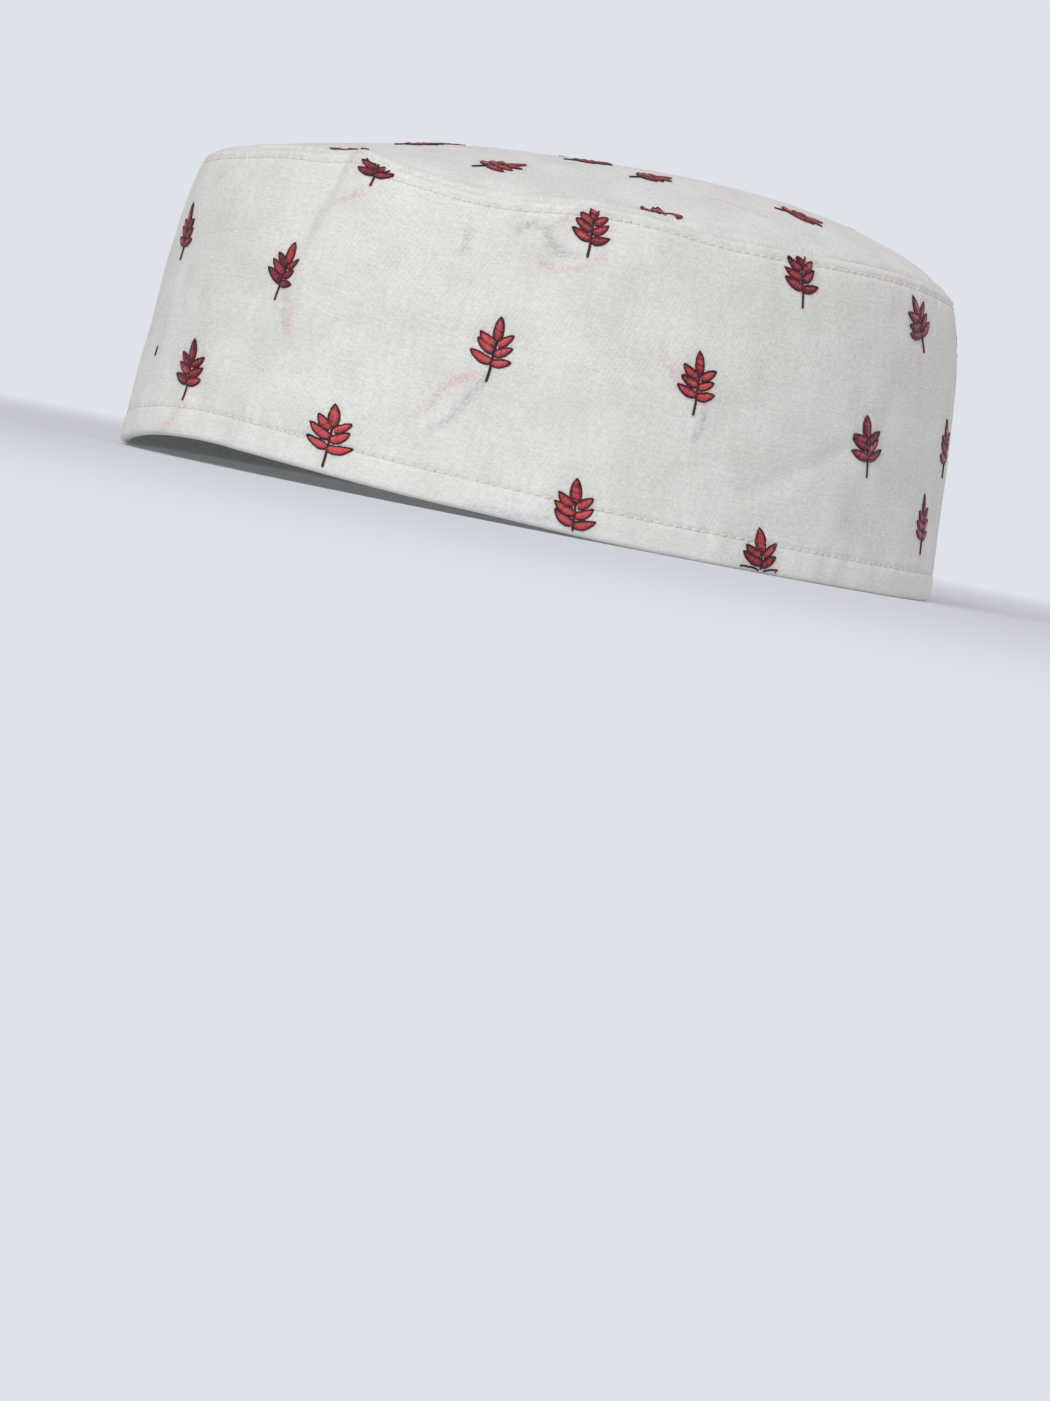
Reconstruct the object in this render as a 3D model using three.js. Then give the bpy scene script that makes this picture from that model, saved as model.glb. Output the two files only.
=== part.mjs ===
// Embroidered skullcap: a soft pillbox cap of cotton twill, standing on its rim.
// Two sewn pieces: an oval crown panel and a side band with a turned hem.
// Millimetres, +Z up, front towards -Y. The origin is on the ground under the middle of the cap.
// Bearings are degrees around the cap, from the front towards the wearer's left.
import * as THREE from "three";
import { LoftGeometry } from "three/addons/geometries/LoftGeometry.js";

// Driving sizes
const RIM_HALF_LENGTH = 102; // outside of the rim, middle to front
const RIM_HALF_WIDTH = 86; // outside of the rim, middle to side
const SEAM_HEIGHT = 71.5; // ground to the crown seam
const CROWN_RISE = 14.2; // crown's edge to the top of the dome
const CROWN_FULLNESS = 3.2; // power of the dome's curve: a higher one is flatter on top
const FRONT_LEAN = 26; // lowers the front half of the dome
const BACK_LEAN = 12; // lifts its back half
const WALL = 2; // two layers of twill
const HEM_WALL = 2.8; // the same at the turned hem
const HEM_EDGE = 1.6; // flat foot of the hem, between its two rounded edges
const CROWN_WALL = 1.6;
const CROWN_EDGE = 0.8; // the crown's edge, pressed thin where it is sewn to the band
const SEAM_GAP = 0.3; // between the band's upper edge and the crown
const WAVE_REACH = 0.2; // share of the way in at which the seam's waves have died out
const SECTIONS_AROUND = 88;

// Sections of the band, rim to seam. share: part of the band's height; inset: how far the outer
// face has leaned in there; wall: thickness there.
const BAND_SECTIONS = [
  { share: 0.0, inset: 0.6, wall: HEM_EDGE },
  { share: 0.013, inset: 0.0, wall: HEM_WALL },
  { share: 0.095, inset: 0.4, wall: HEM_WALL },
  { share: 0.11, inset: 0.5, wall: WALL },
  { share: 0.29, inset: 1.3, wall: WALL },
  { share: 0.45, inset: 2.0, wall: WALL },
  { share: 0.62, inset: 2.9, wall: WALL },
  { share: 0.78, inset: 4.0, wall: WALL },
  { share: 0.88, inset: 5.2, wall: WALL },
  { share: 0.95, inset: 6.5, wall: WALL },
  { share: 1.0, inset: 8.0, wall: WALL },
];
const SEAM_INSET = BAND_SECTIONS.at(-1).inset;

// Rings of the crown, as shares of the way from the seam to the middle.
const CROWN_SHARES = [0, 0.05, 0.12, 0.22, 0.36, 0.54, 0.76, 1];

// Waves of the two edges. width: bearing at which a wave dies out; lift: its height.
const RIM_WAVES = [
  { bearing: 12, width: 44, lift: 4.8 },
  { bearing: 50, width: 32, lift: 1.5 },
];
const SEAM_WAVES = [
  { bearing: -20, width: 26, lift: -1.2 },
  { bearing: 20, width: 22, lift: 1.7 },
  { bearing: 29, width: 9, lift: 1.7 },
  { bearing: 50, width: 14, lift: -1.5 },
  { bearing: 71, width: 16, lift: 1.2 },
  { bearing: 116, width: 34, lift: 1.8 },
  { bearing: 205, width: 40, lift: -1.0 },
  { bearing: 290, width: 34, lift: 1.2 },
];

// Dents of the band. Each runs down from its bearing at the seam to another at its foot, which is
// a share of the height; a negative depth is a bulge.
const BAND_DENTS = [
  { atSeam: 28, atFoot: 22, foot: 0.25, width: 8, depth: 2.2 },
  { atSeam: 45, atFoot: 40, foot: 0.45, width: 20, depth: -1.2 },
  { atSeam: 150, atFoot: 158, foot: 0.4, width: 14, depth: 1.3 },
  { atSeam: 262, atFoot: 255, foot: 0.35, width: 12, depth: 1.4 },
];

// Hollows of the crown, each at a bearing and a share of the way in.
const CROWN_DENTS = [
  { bearing: 69, share: 0.12, width: 9, reach: 0.12, depth: 1.6 },
  { bearing: 60, share: 0.26, width: 10, reach: 0.16, depth: 1.2 },
  { bearing: 215, share: 0.3, width: 20, reach: 0.22, depth: 1.5 },
];

// Signed turn from one bearing to another, -180 to 180 degrees.
function turn(from, to) {
  return THREE.MathUtils.euclideanModulo(to - from + 180, 360) - 180;
}

// A rounded hump: 1 in its middle, 0 at its width and beyond.
function hump(distance, width) {
  return 0.5 + 0.5 * Math.cos(Math.PI * Math.min(Math.abs(distance) / width, 1));
}

function waveHeight(table, bearing) {
  return table.reduce((sum, w) => sum + w.lift * hump(turn(w.bearing, bearing), w.width), 0);
}

function rimHeight(bearing) {
  return waveHeight(RIM_WAVES, bearing);
}

function seamHeight(bearing) {
  return SEAM_HEIGHT + waveHeight(SEAM_WAVES, bearing);
}

// How far the dents push the band in, at a bearing and a share of its height.
function bandDent(bearing, share) {
  return BAND_DENTS.reduce((sum, dent) => {
    const down = Math.min((1 - share) / (1 - dent.foot), 1);
    const middle = THREE.MathUtils.lerp(dent.atSeam, dent.atFoot, down);
    return sum + dent.depth * hump(turn(middle, bearing), dent.width) * hump(down, 1);
  }, 0);
}

// A point of the oval at a bearing, moved in from the rim's outer edge by an inset.
function ovalPoint(bearing, inset, height) {
  const angle = THREE.MathUtils.degToRad(bearing);
  const side = Math.sin(angle);
  const front = -Math.cos(angle);
  const outward = new THREE.Vector2(side / RIM_HALF_WIDTH, front / RIM_HALF_LENGTH).normalize();
  return new THREE.Vector3(
    RIM_HALF_WIDTH * side - inset * outward.x,
    RIM_HALF_LENGTH * front - inset * outward.y,
    height,
  );
}

// One closed ring of points around the cap, from a function of the bearing.
function ring(pointAt) {
  const step = 360 / SECTIONS_AROUND;
  return Array.from({ length: SECTIONS_AROUND }, (_, i) => pointAt(i * step));
}

// A ring of the band at one of its sections, on the outer face or moved in from it.
function bandRing(section, movedIn) {
  return ring((bearing) => {
    const foot = rimHeight(bearing);
    const height = THREE.MathUtils.lerp(foot, seamHeight(bearing), section.share);
    return ovalPoint(bearing, section.inset + bandDent(bearing, section.share) + movedIn, height);
  });
}

// The band: up its outer face, over the seam edge, down its inner face and under the rim.
function bandGeometry() {
  const outer = BAND_SECTIONS.map((section) => bandRing(section, 0));
  const inner = BAND_SECTIONS.map((section) => bandRing(section, section.wall));
  return new LoftGeometry([...outer, ...inner.reverse(), outer[0]]);
}

// Height of the crown's upper face, at a bearing and a share of the way in from the seam.
function domeHeight(bearing, share) {
  const edge = THREE.MathUtils.lerp(seamHeight(bearing), SEAM_HEIGHT, Math.min(share / WAVE_REACH, 1));
  const rise = CROWN_RISE * (1 - (1 - share) ** CROWN_FULLNESS);
  const back = -Math.cos(THREE.MathUtils.degToRad(bearing));
  const lean = (back < 0 ? FRONT_LEAN : BACK_LEAN) * back * share * (1 - share) ** 2;
  const dents = CROWN_DENTS.reduce(
    (sum, d) => sum + d.depth * hump(turn(d.bearing, bearing), d.width) * hump(share - d.share, d.reach),
    0,
  );
  return SEAM_GAP + CROWN_EDGE + edge + rise + lean - dents;
}

// A ring of the crown, on its upper face or below it.
function domeRing(share, below) {
  return ring((bearing) => {
    const edge = ovalPoint(bearing, SEAM_INSET + bandDent(bearing, 1), 0);
    return edge.multiplyScalar(1 - share).setZ(domeHeight(bearing, share) - below);
  });
}

// A ring of the flat underside that lies over the band's upper edge.
function seatRing(movedIn) {
  return ring((bearing) =>
    ovalPoint(bearing, SEAM_INSET + bandDent(bearing, 1) + movedIn, seamHeight(bearing) + SEAM_GAP),
  );
}

// The crown: out along the dome's underside, over the band's edge, and back over the dome.
function crownGeometry() {
  const underside = CROWN_SHARES.slice(1).map((share) => domeRing(share, CROWN_WALL));
  const top = CROWN_SHARES.map((share) => domeRing(share, 0));
  return new LoftGeometry([...underside.reverse(), seatRing(WALL), seatRing(0), ...top]);
}

// Each piece with its own cloth: off-white cotton twill, matt.
function sewnPiece(name, geometry) {
  const cloth = new THREE.MeshStandardMaterial({ color: 0xe4e3df, roughness: 0.9, metalness: 0 });
  const piece = new THREE.Mesh(geometry, cloth);
  piece.name = name;
  return piece;
}

const cap = new THREE.Group();
cap.add(sewnPiece("band", bandGeometry()));
cap.add(sewnPiece("crown", crownGeometry()));

export default cap;
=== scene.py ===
"""Looks of an embroidered skullcap: its twill, topstitching and leaf sprigs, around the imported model.

Lengths are millimetres unless a name says metres; meshes are written in metres. Bearings are
degrees around the cap from its front, positive towards the wearer's left. A flat place on the band
is (arc, height): the way around the cap from the front, and the height above the ground. A flat
place on the crown is (x, y), seen from above.
"""

from __future__ import annotations

import logging
import math
from dataclasses import dataclass, field
from enum import Enum
from functools import cached_property

import bpy
import numpy as np
from mathutils import Matrix, Vector


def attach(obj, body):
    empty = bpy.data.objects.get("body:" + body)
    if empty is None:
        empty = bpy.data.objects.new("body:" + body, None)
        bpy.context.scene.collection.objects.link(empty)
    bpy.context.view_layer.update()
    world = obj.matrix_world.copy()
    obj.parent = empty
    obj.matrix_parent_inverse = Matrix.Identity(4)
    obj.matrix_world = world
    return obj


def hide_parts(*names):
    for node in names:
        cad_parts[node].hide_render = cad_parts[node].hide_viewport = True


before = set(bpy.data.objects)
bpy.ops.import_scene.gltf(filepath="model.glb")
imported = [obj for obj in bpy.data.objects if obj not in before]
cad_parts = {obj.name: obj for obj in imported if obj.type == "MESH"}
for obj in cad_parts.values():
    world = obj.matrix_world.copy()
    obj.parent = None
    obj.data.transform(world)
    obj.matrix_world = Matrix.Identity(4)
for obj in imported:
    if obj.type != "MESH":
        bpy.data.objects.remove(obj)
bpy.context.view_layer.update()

LOG = logging.getLogger("skullcap")
MM = 0.001
BODY = "root"
CLOTH_MAP = "cloth_mm"
EDGE_MAP = "edges_mm"
THREAD_MAP = "thread_mm"
# Colour factors on the cloth: threads that show through it, and painted light: the crown's painted
# shade and a painted highlight at the band's hem and seam.
TINT = "show_through"
SHADE = "shade"
WAVE_PERIOD = 2 * math.pi / 20  # length of one band of Blender's wave texture at a scale of 1
MIXED = 2  # number of the Mix node's colour output

Array = np.ndarray


def turn(start: float | Array, end: float | Array) -> Array:
    """Signed turn from one bearing to another, from -180 to 180 degrees."""
    return (end - start + 180) % 360 - 180


def hump(distance: Array, width: float) -> Array:
    """A rounded hump: 1 in its middle, 0 at its width and beyond."""
    return 0.5 + 0.5 * np.cos(np.pi * np.minimum(np.abs(distance) / width, 1))


def bell(distance: Array, width: float) -> Array:
    """A bell curve: 1 in its middle, about a third at its width."""
    return np.exp(-((distance / width) ** 2))


def unit(vectors: Array) -> Array:
    """The same directions at a length of 1."""
    return vectors / np.maximum(np.linalg.norm(vectors, axis=-1, keepdims=True), 1e-12)


def linear(hex_colour: str) -> tuple[float, float, float, float]:
    """Turns an sRGB colour into a linear one.

    Args:
        hex_colour: Six hex digits, such as "e4e3df".

    Returns:
        Linear red, green, blue and alpha.
    """
    parts = [int(hex_colour[i : i + 2], 16) / 255 for i in (0, 2, 4)]
    rgb = [p / 12.92 if p <= 0.04045 else ((p + 0.055) / 1.055) ** 2.4 for p in parts]
    return (*rgb, 1.0)


def add_node(
    tree: bpy.types.NodeTree, kind: str, inputs: dict | None = None, **settings: object
) -> bpy.types.Node:
    """Adds one node with its settings and inputs.

    Args:
        tree: The node tree it goes in.
        kind: Blender's name for the kind of node.
        inputs: Its inputs by name or number. A socket is linked, anything else is set.
        settings: Its properties by name.

    Returns:
        The new node.
    """
    made = tree.nodes.new(kind)
    for name, value in settings.items():
        setattr(made, name, value)
    for key, value in (inputs or {}).items():
        if isinstance(value, bpy.types.NodeSocket):
            tree.links.new(value, made.inputs[key])
        else:
            made.inputs[key].default_value = value
    return made


def new_material(name: str) -> tuple[bpy.types.Material, bpy.types.NodeTree]:
    """Makes an empty node material.

    Args:
        name: The material's name.

    Returns:
        The material and its node tree.
    """
    material = bpy.data.materials.new(name)
    material.use_nodes = True
    material.node_tree.nodes.clear()
    return material, material.node_tree


def write_mesh(
    name: str,
    points: Array,
    faces: list[Array],
    maps: dict[str, Array] | None = None,
) -> bpy.types.Object:
    """Writes a smooth-shaded mesh object from arrays.

    Args:
        name: Name of the object and its mesh.
        points: Vertices, (n, 3), in millimetres.
        faces: Arrays of vertex numbers, each (faces, corners).
        maps: UV maps by name, each with one (u, v) for every face corner, in face order.

    Returns:
        The new object, linked to the scene.
    """
    corners = np.concatenate([f.ravel() for f in faces]).astype(np.int32)
    counts = np.concatenate([np.full(len(f), f.shape[1], np.int32) for f in faces])
    mesh = bpy.data.meshes.new(name)
    mesh.vertices.add(len(points))
    mesh.vertices.foreach_set("co", (points * MM).astype(np.float32).ravel())
    mesh.loops.add(len(corners))
    mesh.loops.foreach_set("vertex_index", corners)
    mesh.polygons.add(len(counts))
    mesh.polygons.foreach_set("loop_start", (np.cumsum(counts) - counts).astype(np.int32))
    mesh.polygons.foreach_set("use_smooth", np.ones(len(counts), bool))
    mesh.update(calc_edges=True)
    for map_name, values in (maps or {}).items():
        layer = mesh.uv_layers.new(name=map_name)
        layer.data.foreach_set("uv", values.astype(np.float32).ravel())
    made = bpy.data.objects.new(name, mesh)
    bpy.context.scene.collection.objects.link(made)
    return made


def write_values(piece: bpy.types.Object, name: str, values: Array) -> None:
    """Stores one number or one colour for each vertex of a piece.

    Args:
        piece: The piece.
        name: Name of the attribute.
        values: Numbers, (n,), or colours, (n, 4).
    """
    kind, key = ("FLOAT", "value") if values.ndim == 1 else ("FLOAT_COLOR", "color")
    attribute = piece.data.attributes.new(name, kind, "POINT")
    attribute.data.foreach_set(key, values.astype(np.float32).ravel())


def grid_quads(rows: int, columns: int, wrap_rows: bool) -> Array:
    """Faces of a grid of points that closes around its columns.

    Args:
        rows: Rows of the grid.
        columns: Points in each row.
        wrap_rows: Whether the last row joins the first.

    Returns:
        Vertex numbers, (faces, 4), row by row.
    """
    row = np.arange(rows if wrap_rows else rows - 1)[:, None]
    column = np.arange(columns)[None, :]
    after, beside = (row + 1) % rows, (column + 1) % columns
    corners = (row * columns + column, row * columns + beside)
    corners += (after * columns + beside, after * columns + column)
    return np.stack(np.broadcast_arrays(*corners), -1).reshape(-1, 4)


def grid_map(u: Array, v: Array) -> Array:
    """UV corners for the faces of grid_quads.

    Args:
        u: Where the columns lie, with one more at the end for the first again.
        v: Where the rows lie, with one more at the end if the last row joins the first.

    Returns:
        One (u, v) for every face corner, in face order.
    """
    left, low = np.broadcast_arrays(u[None, :-1], v[:-1, None])
    right, high = np.broadcast_arrays(u[None, 1:], v[1:, None])
    corners = [(left, low), (right, low), (right, high), (left, high)]
    return np.stack([np.stack(c, -1) for c in corners], -2).reshape(-1, 2)


@dataclass(frozen=True)
class Wave:
    """A rise or fall of an edge around a bearing."""

    bearing: float
    width: float
    lift: float


@dataclass(frozen=True)
class Swell:
    """A rounded rise along a line of the cloth; a negative height is a groove."""

    height: float
    width: float
    middle: float = 0.0

    def at(self, distance: Array) -> Array:
        """Height at a distance from the edge that its middle is measured from."""
        return self.height * bell(distance - self.middle, self.width)


@dataclass(frozen=True)
class Dent:
    """A push into the band that runs down from the seam; a negative depth is a bulge."""

    at_seam: float
    at_foot: float
    foot: float
    width: float
    depth: float


@dataclass(frozen=True)
class Hollow:
    """A hollow of the crown, at a bearing and a share of the way in."""

    bearing: float
    share: float
    width: float
    reach: float
    depth: float


class Fold(Enum):
    """How cloth is folded along a crease, as seen from outside and on the way from start to end.

    A valley sinks and a ridge stands out. A step lies deeper on its left, and a fall drops away
    to its left only.
    """

    VALLEY = 1
    RIDGE = 2
    STEP = 3
    FALL = 4


@dataclass(frozen=True)
class Crease:
    """A crease of the band between two flat places, so wide and so high or deep."""

    fold: Fold
    start: tuple[float, float]
    end: tuple[float, float]
    width: float
    size: float

    END_FADE = 4.0  # the least length in which a crease dies out past its ends
    RIDGE_ROUND = 1.0
    STEP_SLOPE = 3.4
    FALL_REACH = 30.0

    def lift_at(self, flat: Array) -> Array:
        """How far the crease moves the band out.

        Args:
            flat: Flat places of the band, (..., 2).

        Returns:
            The move out at each place; it dies out past the crease's ends.
        """
        way = np.subtract(self.end, self.start)
        length = float(np.hypot(*way))
        ahead = way / length
        from_start = flat - np.array(self.start)
        along = from_start @ ahead
        across = from_start @ np.array([-ahead[1], ahead[0]])
        past = np.maximum(0, np.maximum(-along, along - length))
        fade = self.size * bell(past, max(self.width, self.END_FADE))
        if self.fold is Fold.VALLEY:
            return -fade * bell(across, self.width)
        if self.fold is Fold.RIDGE:
            return fade * np.exp(-np.hypot(across, self.RIDGE_ROUND) / self.width)
        if self.fold is Fold.FALL:
            left = np.maximum(across, 0)
            return -fade * (1 - bell(left, self.width)) * np.exp(-left / self.FALL_REACH)
        slope = np.tanh(across / self.STEP_SLOPE)
        return -fade * slope * np.exp(-np.abs(across) / self.width)


class Unevenness:
    """Gentle unevenness of cloth: a sum of seeded waves that closes around the cap."""

    SPREAD = (0.6, 1.4)  # how much the waves' heights differ

    def __init__(
        self, seed: int, turns: tuple[int, int], rise: float, terms: int, height: float
    ) -> None:
        """Draws the waves.

        Args:
            seed: Seed of the draw.
            turns: Fewest and most waves around the cap.
            rise: Most waves for each millimetre up.
            terms: How many waves are added.
            height: Typical height of the sum.
        """
        draw = np.random.default_rng(seed)
        self.around = draw.integers(turns[0], turns[1] + 1, terms)
        self.up = draw.uniform(-rise, rise, terms) * 2 * np.pi
        self.start = draw.uniform(0, 2 * np.pi, terms)
        self.size = draw.uniform(*self.SPREAD, terms) * height / math.sqrt(terms / 2)

    def at(self, share_round: Array, up: Array) -> Array:
        """Height of the unevenness.

        Args:
            share_round: Shares of the way around the cap.
            up: Distances up the cloth.

        Returns:
            The height at each place.
        """
        total = np.zeros(np.broadcast(share_round, up).shape)
        for around, rise, start, size in zip(self.around, self.up, self.start, self.size):
            total += size * np.sin(2 * np.pi * around * share_round + rise * up + start)
        return total


@dataclass(frozen=True)
class CapForm:
    """The cap's sewn shape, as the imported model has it."""

    half_length: float = 102.0
    half_width: float = 86.0
    seam_height: float = 71.5
    crown_rise: float = 14.2
    crown_fullness: float = 3.2
    front_lean: float = 26.0
    back_lean: float = 12.0
    wave_reach: float = 0.2
    crown_edge: float = 1.1
    middle_inset: float = 2.0
    profile_shares: tuple[float, ...] = (0, 0.095, 0.29, 0.45, 0.62, 0.78, 0.88, 0.95, 1)
    profile_insets: tuple[float, ...] = (0, 0.4, 1.3, 2.0, 2.9, 4.0, 5.2, 6.5, 8.0)
    rim_waves: tuple[Wave, ...] = (Wave(12, 44, 4.8), Wave(50, 32, 1.5))
    seam_waves: tuple[Wave, ...] = (
        Wave(-20, 26, -1.2),
        Wave(20, 22, 1.7),
        Wave(29, 9, 1.7),
        Wave(50, 14, -1.5),
        Wave(71, 16, 1.2),
        Wave(116, 34, 1.8),
        Wave(205, 40, -1.0),
        Wave(290, 34, 1.2),
    )
    dents: tuple[Dent, ...] = (
        Dent(28, 22, 0.25, 8, 2.2),
        Dent(45, 40, 0.45, 20, -1.2),
        Dent(150, 158, 0.4, 14, 1.3),
        Dent(262, 255, 0.35, 12, 1.4),
    )
    hollows: tuple[Hollow, ...] = (
        Hollow(69, 0.12, 9, 0.12, 1.6),
        Hollow(60, 0.26, 10, 0.16, 1.2),
        Hollow(215, 0.3, 20, 0.22, 1.5),
    )

    TABLE_REACH = 540  # degrees either way, more than once around
    TABLE_STEPS = 6481
    PROFILE_STEPS = 401
    PROFILE_ROUNDING = 17  # steps over which a corner is rounded, either way

    @cached_property
    def arc_table(self) -> tuple[Array, Array]:
        """Tables the way around the cap, at the middle of the band.

        Returns:
            Bearings, and the way to each from the front.
        """
        bearings = np.linspace(-self.TABLE_REACH, self.TABLE_REACH, self.TABLE_STEPS)
        x, y = self.oval(bearings, self.middle_inset)
        steps = np.hypot(np.diff(x), np.diff(y))
        arcs = np.concatenate([[0], np.cumsum(steps)])
        return bearings, arcs - np.interp(0, bearings, arcs)

    @cached_property
    def around(self) -> float:
        """The way right around the cap, at the middle of the band."""
        return float(np.interp(180, *self.arc_table) - np.interp(-180, *self.arc_table))

    @cached_property
    def profile(self) -> tuple[Array, Array]:
        """Tables the band's profile, with its corners rounded.

        Returns:
            Shares of the band's height, and the inset at each.
        """
        reach = self.PROFILE_ROUNDING
        shares = np.linspace(0, 1, self.PROFILE_STEPS)
        insets = np.interp(shares, self.profile_shares, self.profile_insets)
        window = np.hanning(2 * reach + 1)
        steep = insets[-1] - insets[-2]
        after = insets[-1] + steep * np.arange(1, reach + 1)
        padded = np.concatenate([np.full(reach, insets[0]), insets, after])
        return shares, np.convolve(padded, window / window.sum(), "valid")

    def bearing_of(self, arc: Array) -> Array:
        """Bearing at a way around the cap."""
        return np.interp(arc, self.arc_table[1], self.arc_table[0])

    def arc_of(self, bearing: Array) -> Array:
        """Way around the cap to a bearing."""
        return np.interp(bearing, *self.arc_table)

    def oval(self, bearing: Array, inset: float | Array) -> tuple[Array, Array]:
        """Finds points of the cap's oval, seen from above.

        Args:
            bearing: Bearings of the points.
            inset: How far each is moved in from the rim's outer edge.

        Returns:
            The points' x and y.
        """
        angle = np.radians(bearing)
        side, front = np.sin(angle), -np.cos(angle)
        out_x, out_y = side / self.half_width, front / self.half_length
        length = np.hypot(out_x, out_y)
        x = self.half_width * side - inset * out_x / length
        return x, self.half_length * front - inset * out_y / length

    def rim(self, bearing: Array) -> Array:
        """Height of the rim."""
        return sum(w.lift * hump(turn(w.bearing, bearing), w.width) for w in self.rim_waves)

    def seam(self, bearing: Array) -> Array:
        """Height of the crown seam."""
        waves = (w.lift * hump(turn(w.bearing, bearing), w.width) for w in self.seam_waves)
        return self.seam_height + sum(waves)

    def inset(self, bearing: Array, share: Array) -> Array:
        """How far the band's outer face lies in from the rim's outer edge.

        Args:
            bearing: Bearings around the cap.
            share: Shares of the band's height.

        Returns:
            The inset at each place.
        """
        total = np.interp(share, *self.profile)
        for dent in self.dents:
            down = np.minimum((1 - share) / (1 - dent.foot), 1)
            middle = dent.at_seam + (dent.at_foot - dent.at_seam) * down
            total = total + dent.depth * hump(turn(middle, bearing), dent.width) * hump(down, 1)
        return total

    def dome(self, bearing: Array, share: Array) -> Array:
        """Height of the crown, without its small unevenness.

        Args:
            bearing: Bearings around the cap.
            share: Shares of the way in from the seam.

        Returns:
            The height at each place.
        """
        seam = self.seam(bearing)
        edge = seam + (self.seam_height - seam) * np.minimum(share / self.wave_reach, 1)
        rise = self.crown_rise * (1 - (1 - share) ** self.crown_fullness)
        back = -np.cos(np.radians(bearing))
        lean = np.where(back < 0, self.front_lean, self.back_lean) * back * share * (1 - share) ** 2
        pushed = sum(
            h.depth * hump(turn(h.bearing, bearing), h.width) * hump(share - h.share, h.reach)
            for h in self.hollows
        )
        return self.crown_edge + edge + rise + lean - pushed


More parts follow.
